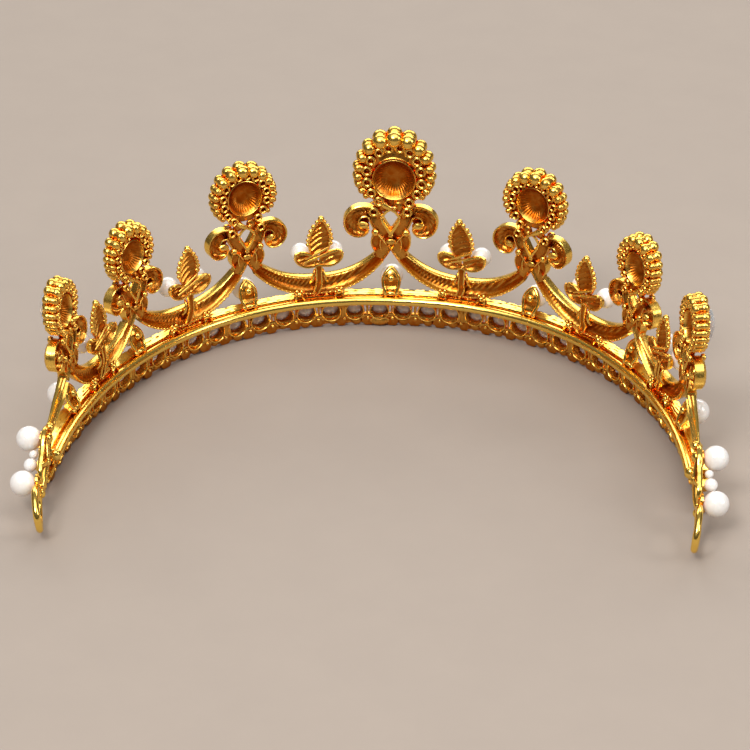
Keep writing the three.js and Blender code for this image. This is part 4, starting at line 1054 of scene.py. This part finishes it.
# ------------------------------------------------------------------ camera, floor and light
def camera():
    e, yaw, roll, dist, cx, cy, unit = 0.5468, -0.0702, 0.0093, 8.7148, -0.0215, -0.4197, HALF_WIDTH
    back = np.array([0, math.cos(e), math.sin(e)])
    right = np.array([-1.0, 0, 0])
    up = np.cross(back, right)
    cr, sr = math.cos(roll), math.sin(roll)
    r2, u2 = cr * right - sr * up, sr * right + cr * up
    C = -cx * r2 - cy * u2 + dist * back
    c, s = math.cos(-yaw), math.sin(-yaw)
    Rz = np.array([[c, -s, 0], [s, c, 0], [0, 0, 1]])
    C, r2, u2, back = Rz @ C, Rz @ r2, Rz @ u2, Rz @ back
    P = np.array([C[0] * unit, C[1] * unit + Y_SHIFT, (C[2] - 0.08) * unit + RAIL_Z]) / 1000
    cam = bpy.data.cameras.new("camera")
    cam.sensor_width = 36.0
    cam.lens = 2800.0 / 750.0 * 36.0
    cam.clip_start, cam.clip_end = 0.05, 20
    cam.dof.use_dof = False
    ob = bpy.data.objects.new("camera", cam)
    bpy.context.scene.collection.objects.link(ob)
    M = Matrix(((r2[0], u2[0], back[0], P[0]), (r2[1], u2[1], back[1], P[1]), (r2[2], u2[2], back[2], P[2]), (0, 0, 0, 1)))
    ob.matrix_world = M
    bpy.context.scene.camera = ob


def area(name, loc, target, size, power, color=(1, 1, 1), size_y=None):
    l = bpy.data.lights.new(name, "AREA")
    l.shape = "RECTANGLE"
    l.size, l.size_y = size, size_y or size
    l.energy, l.color = power, color
    o = bpy.data.objects.new(name, l)
    o.location = loc
    o.rotation_euler = (Vector(target) - Vector(loc)).to_track_quat("-Z", "Y").to_euler()
    bpy.context.scene.collection.objects.link(o)
    return o


def stage():
    me = bpy.data.meshes.new("floor")
    # one gently rising sheet, so that there's no horizon line
    N = 61
    x = np.linspace(-3, 3, N)
    y = np.linspace(-3.4, 2.6, N)
    X, Y = np.meshgrid(x, y, indexing="ij")
    Z = 0.9 * smooth(-Y, 1.0, 3.4) ** 1.5 + 0.0
    V = np.stack([X, Y, Z - 0.0002], -1).reshape(-1, 3)
    F = [(i * N + j, (i + 1) * N + j, (i + 1) * N + j + 1, i * N + j + 1) for i in range(N - 1) for j in range(N - 1)]
    me.from_pydata(V.tolist(), [], F)
    me.update()
    me.shade_smooth()
    ob = bpy.data.objects.new("floor", me)
    bpy.context.scene.collection.objects.link(ob)
    m, nt, bs = tree("floor_paper")
    co = nt.nodes.new("ShaderNodeTexCoord").outputs["Object"]
    nt.links.new(mixcol(nt, noise(nt, 60.0, 4.0, 0.6, co), (0.34, 0.285, 0.245), (0.37, 0.31, 0.265)), bs.inputs["Base Color"])
    bs.inputs["Roughness"].default_value = 0.75
    me.materials.append(m)
    w = bpy.data.worlds.new("studio")
    bpy.context.scene.world = w
    w.use_nodes = True
    nt = w.node_tree
    nt.nodes.clear()
    out = nt.nodes.new("ShaderNodeOutputWorld")
    bg = nt.nodes.new("ShaderNodeBackground")
    gen = nt.nodes.new("ShaderNodeTexCoord")
    sep = nt.nodes.new("ShaderNodeSeparateXYZ")
    nt.links.new(gen.outputs["Generated"], sep.inputs[0])
    ramp = nt.nodes.new("ShaderNodeValToRGB")
    cr = ramp.color_ramp
    cr.elements[0].position, cr.elements[0].color = 0.0, (0.10, 0.075, 0.06, 1)
    cr.elements[1].position, cr.elements[1].color = 1.0, (0.95, 0.93, 0.90, 1)
    e = cr.elements.new(0.45)
    e.color = (0.16, 0.13, 0.11, 1)
    e = cr.elements.new(0.75)
    e.color = (0.42, 0.40, 0.38, 1)
    nt.links.new(maprange(nt, sep.outputs["Z"], -1.0, 1.0, 0.0, 1.0), ramp.inputs[0])
    nt.links.new(ramp.outputs[0], bg.inputs["Color"])
    bg.inputs["Strength"].default_value = 0.34
    nt.links.new(bg.outputs[0], out.inputs[0])
    area("top_box", (0.0, 0.22, 0.85), (0, 0, 0.02), 1.0, 5.0, (1, 0.985, 0.96), 0.65)
    area("key", (0.30, 0.72, 0.95), (0, 0, 0.03), 0.42, 7.5, (1, 0.985, 0.96), 0.30)
    area("back_panel", (0.0, -0.95, 0.58), (0, 0, 0.03), 1.5, 9.0, (1, 0.985, 0.95), 0.42)
    area("right_box", (-0.75, 0.25, 0.50), (0, 0, 0.02), 0.26, 2.0, (1, 0.98, 0.96), 0.34)
    vs = bpy.context.scene.view_settings
    vs.view_transform = "Standard"
    vs.look = "None"


camera()
band_rail()
band_gallery()
band_stones()
for label, sign, i in [("center", 1, 0)] + [("%s_%d" % (sd, i), sg, i) for sd, sg in SIDES for i in (1, 2, 3)]:
    medallion(label, sign, i)
for side, sign in SIDES:
    for i in range(3):
        swag(side, sign, i)
        sprig(side, sign, i)
    end_swag(side, sign)
pearls()
stage()
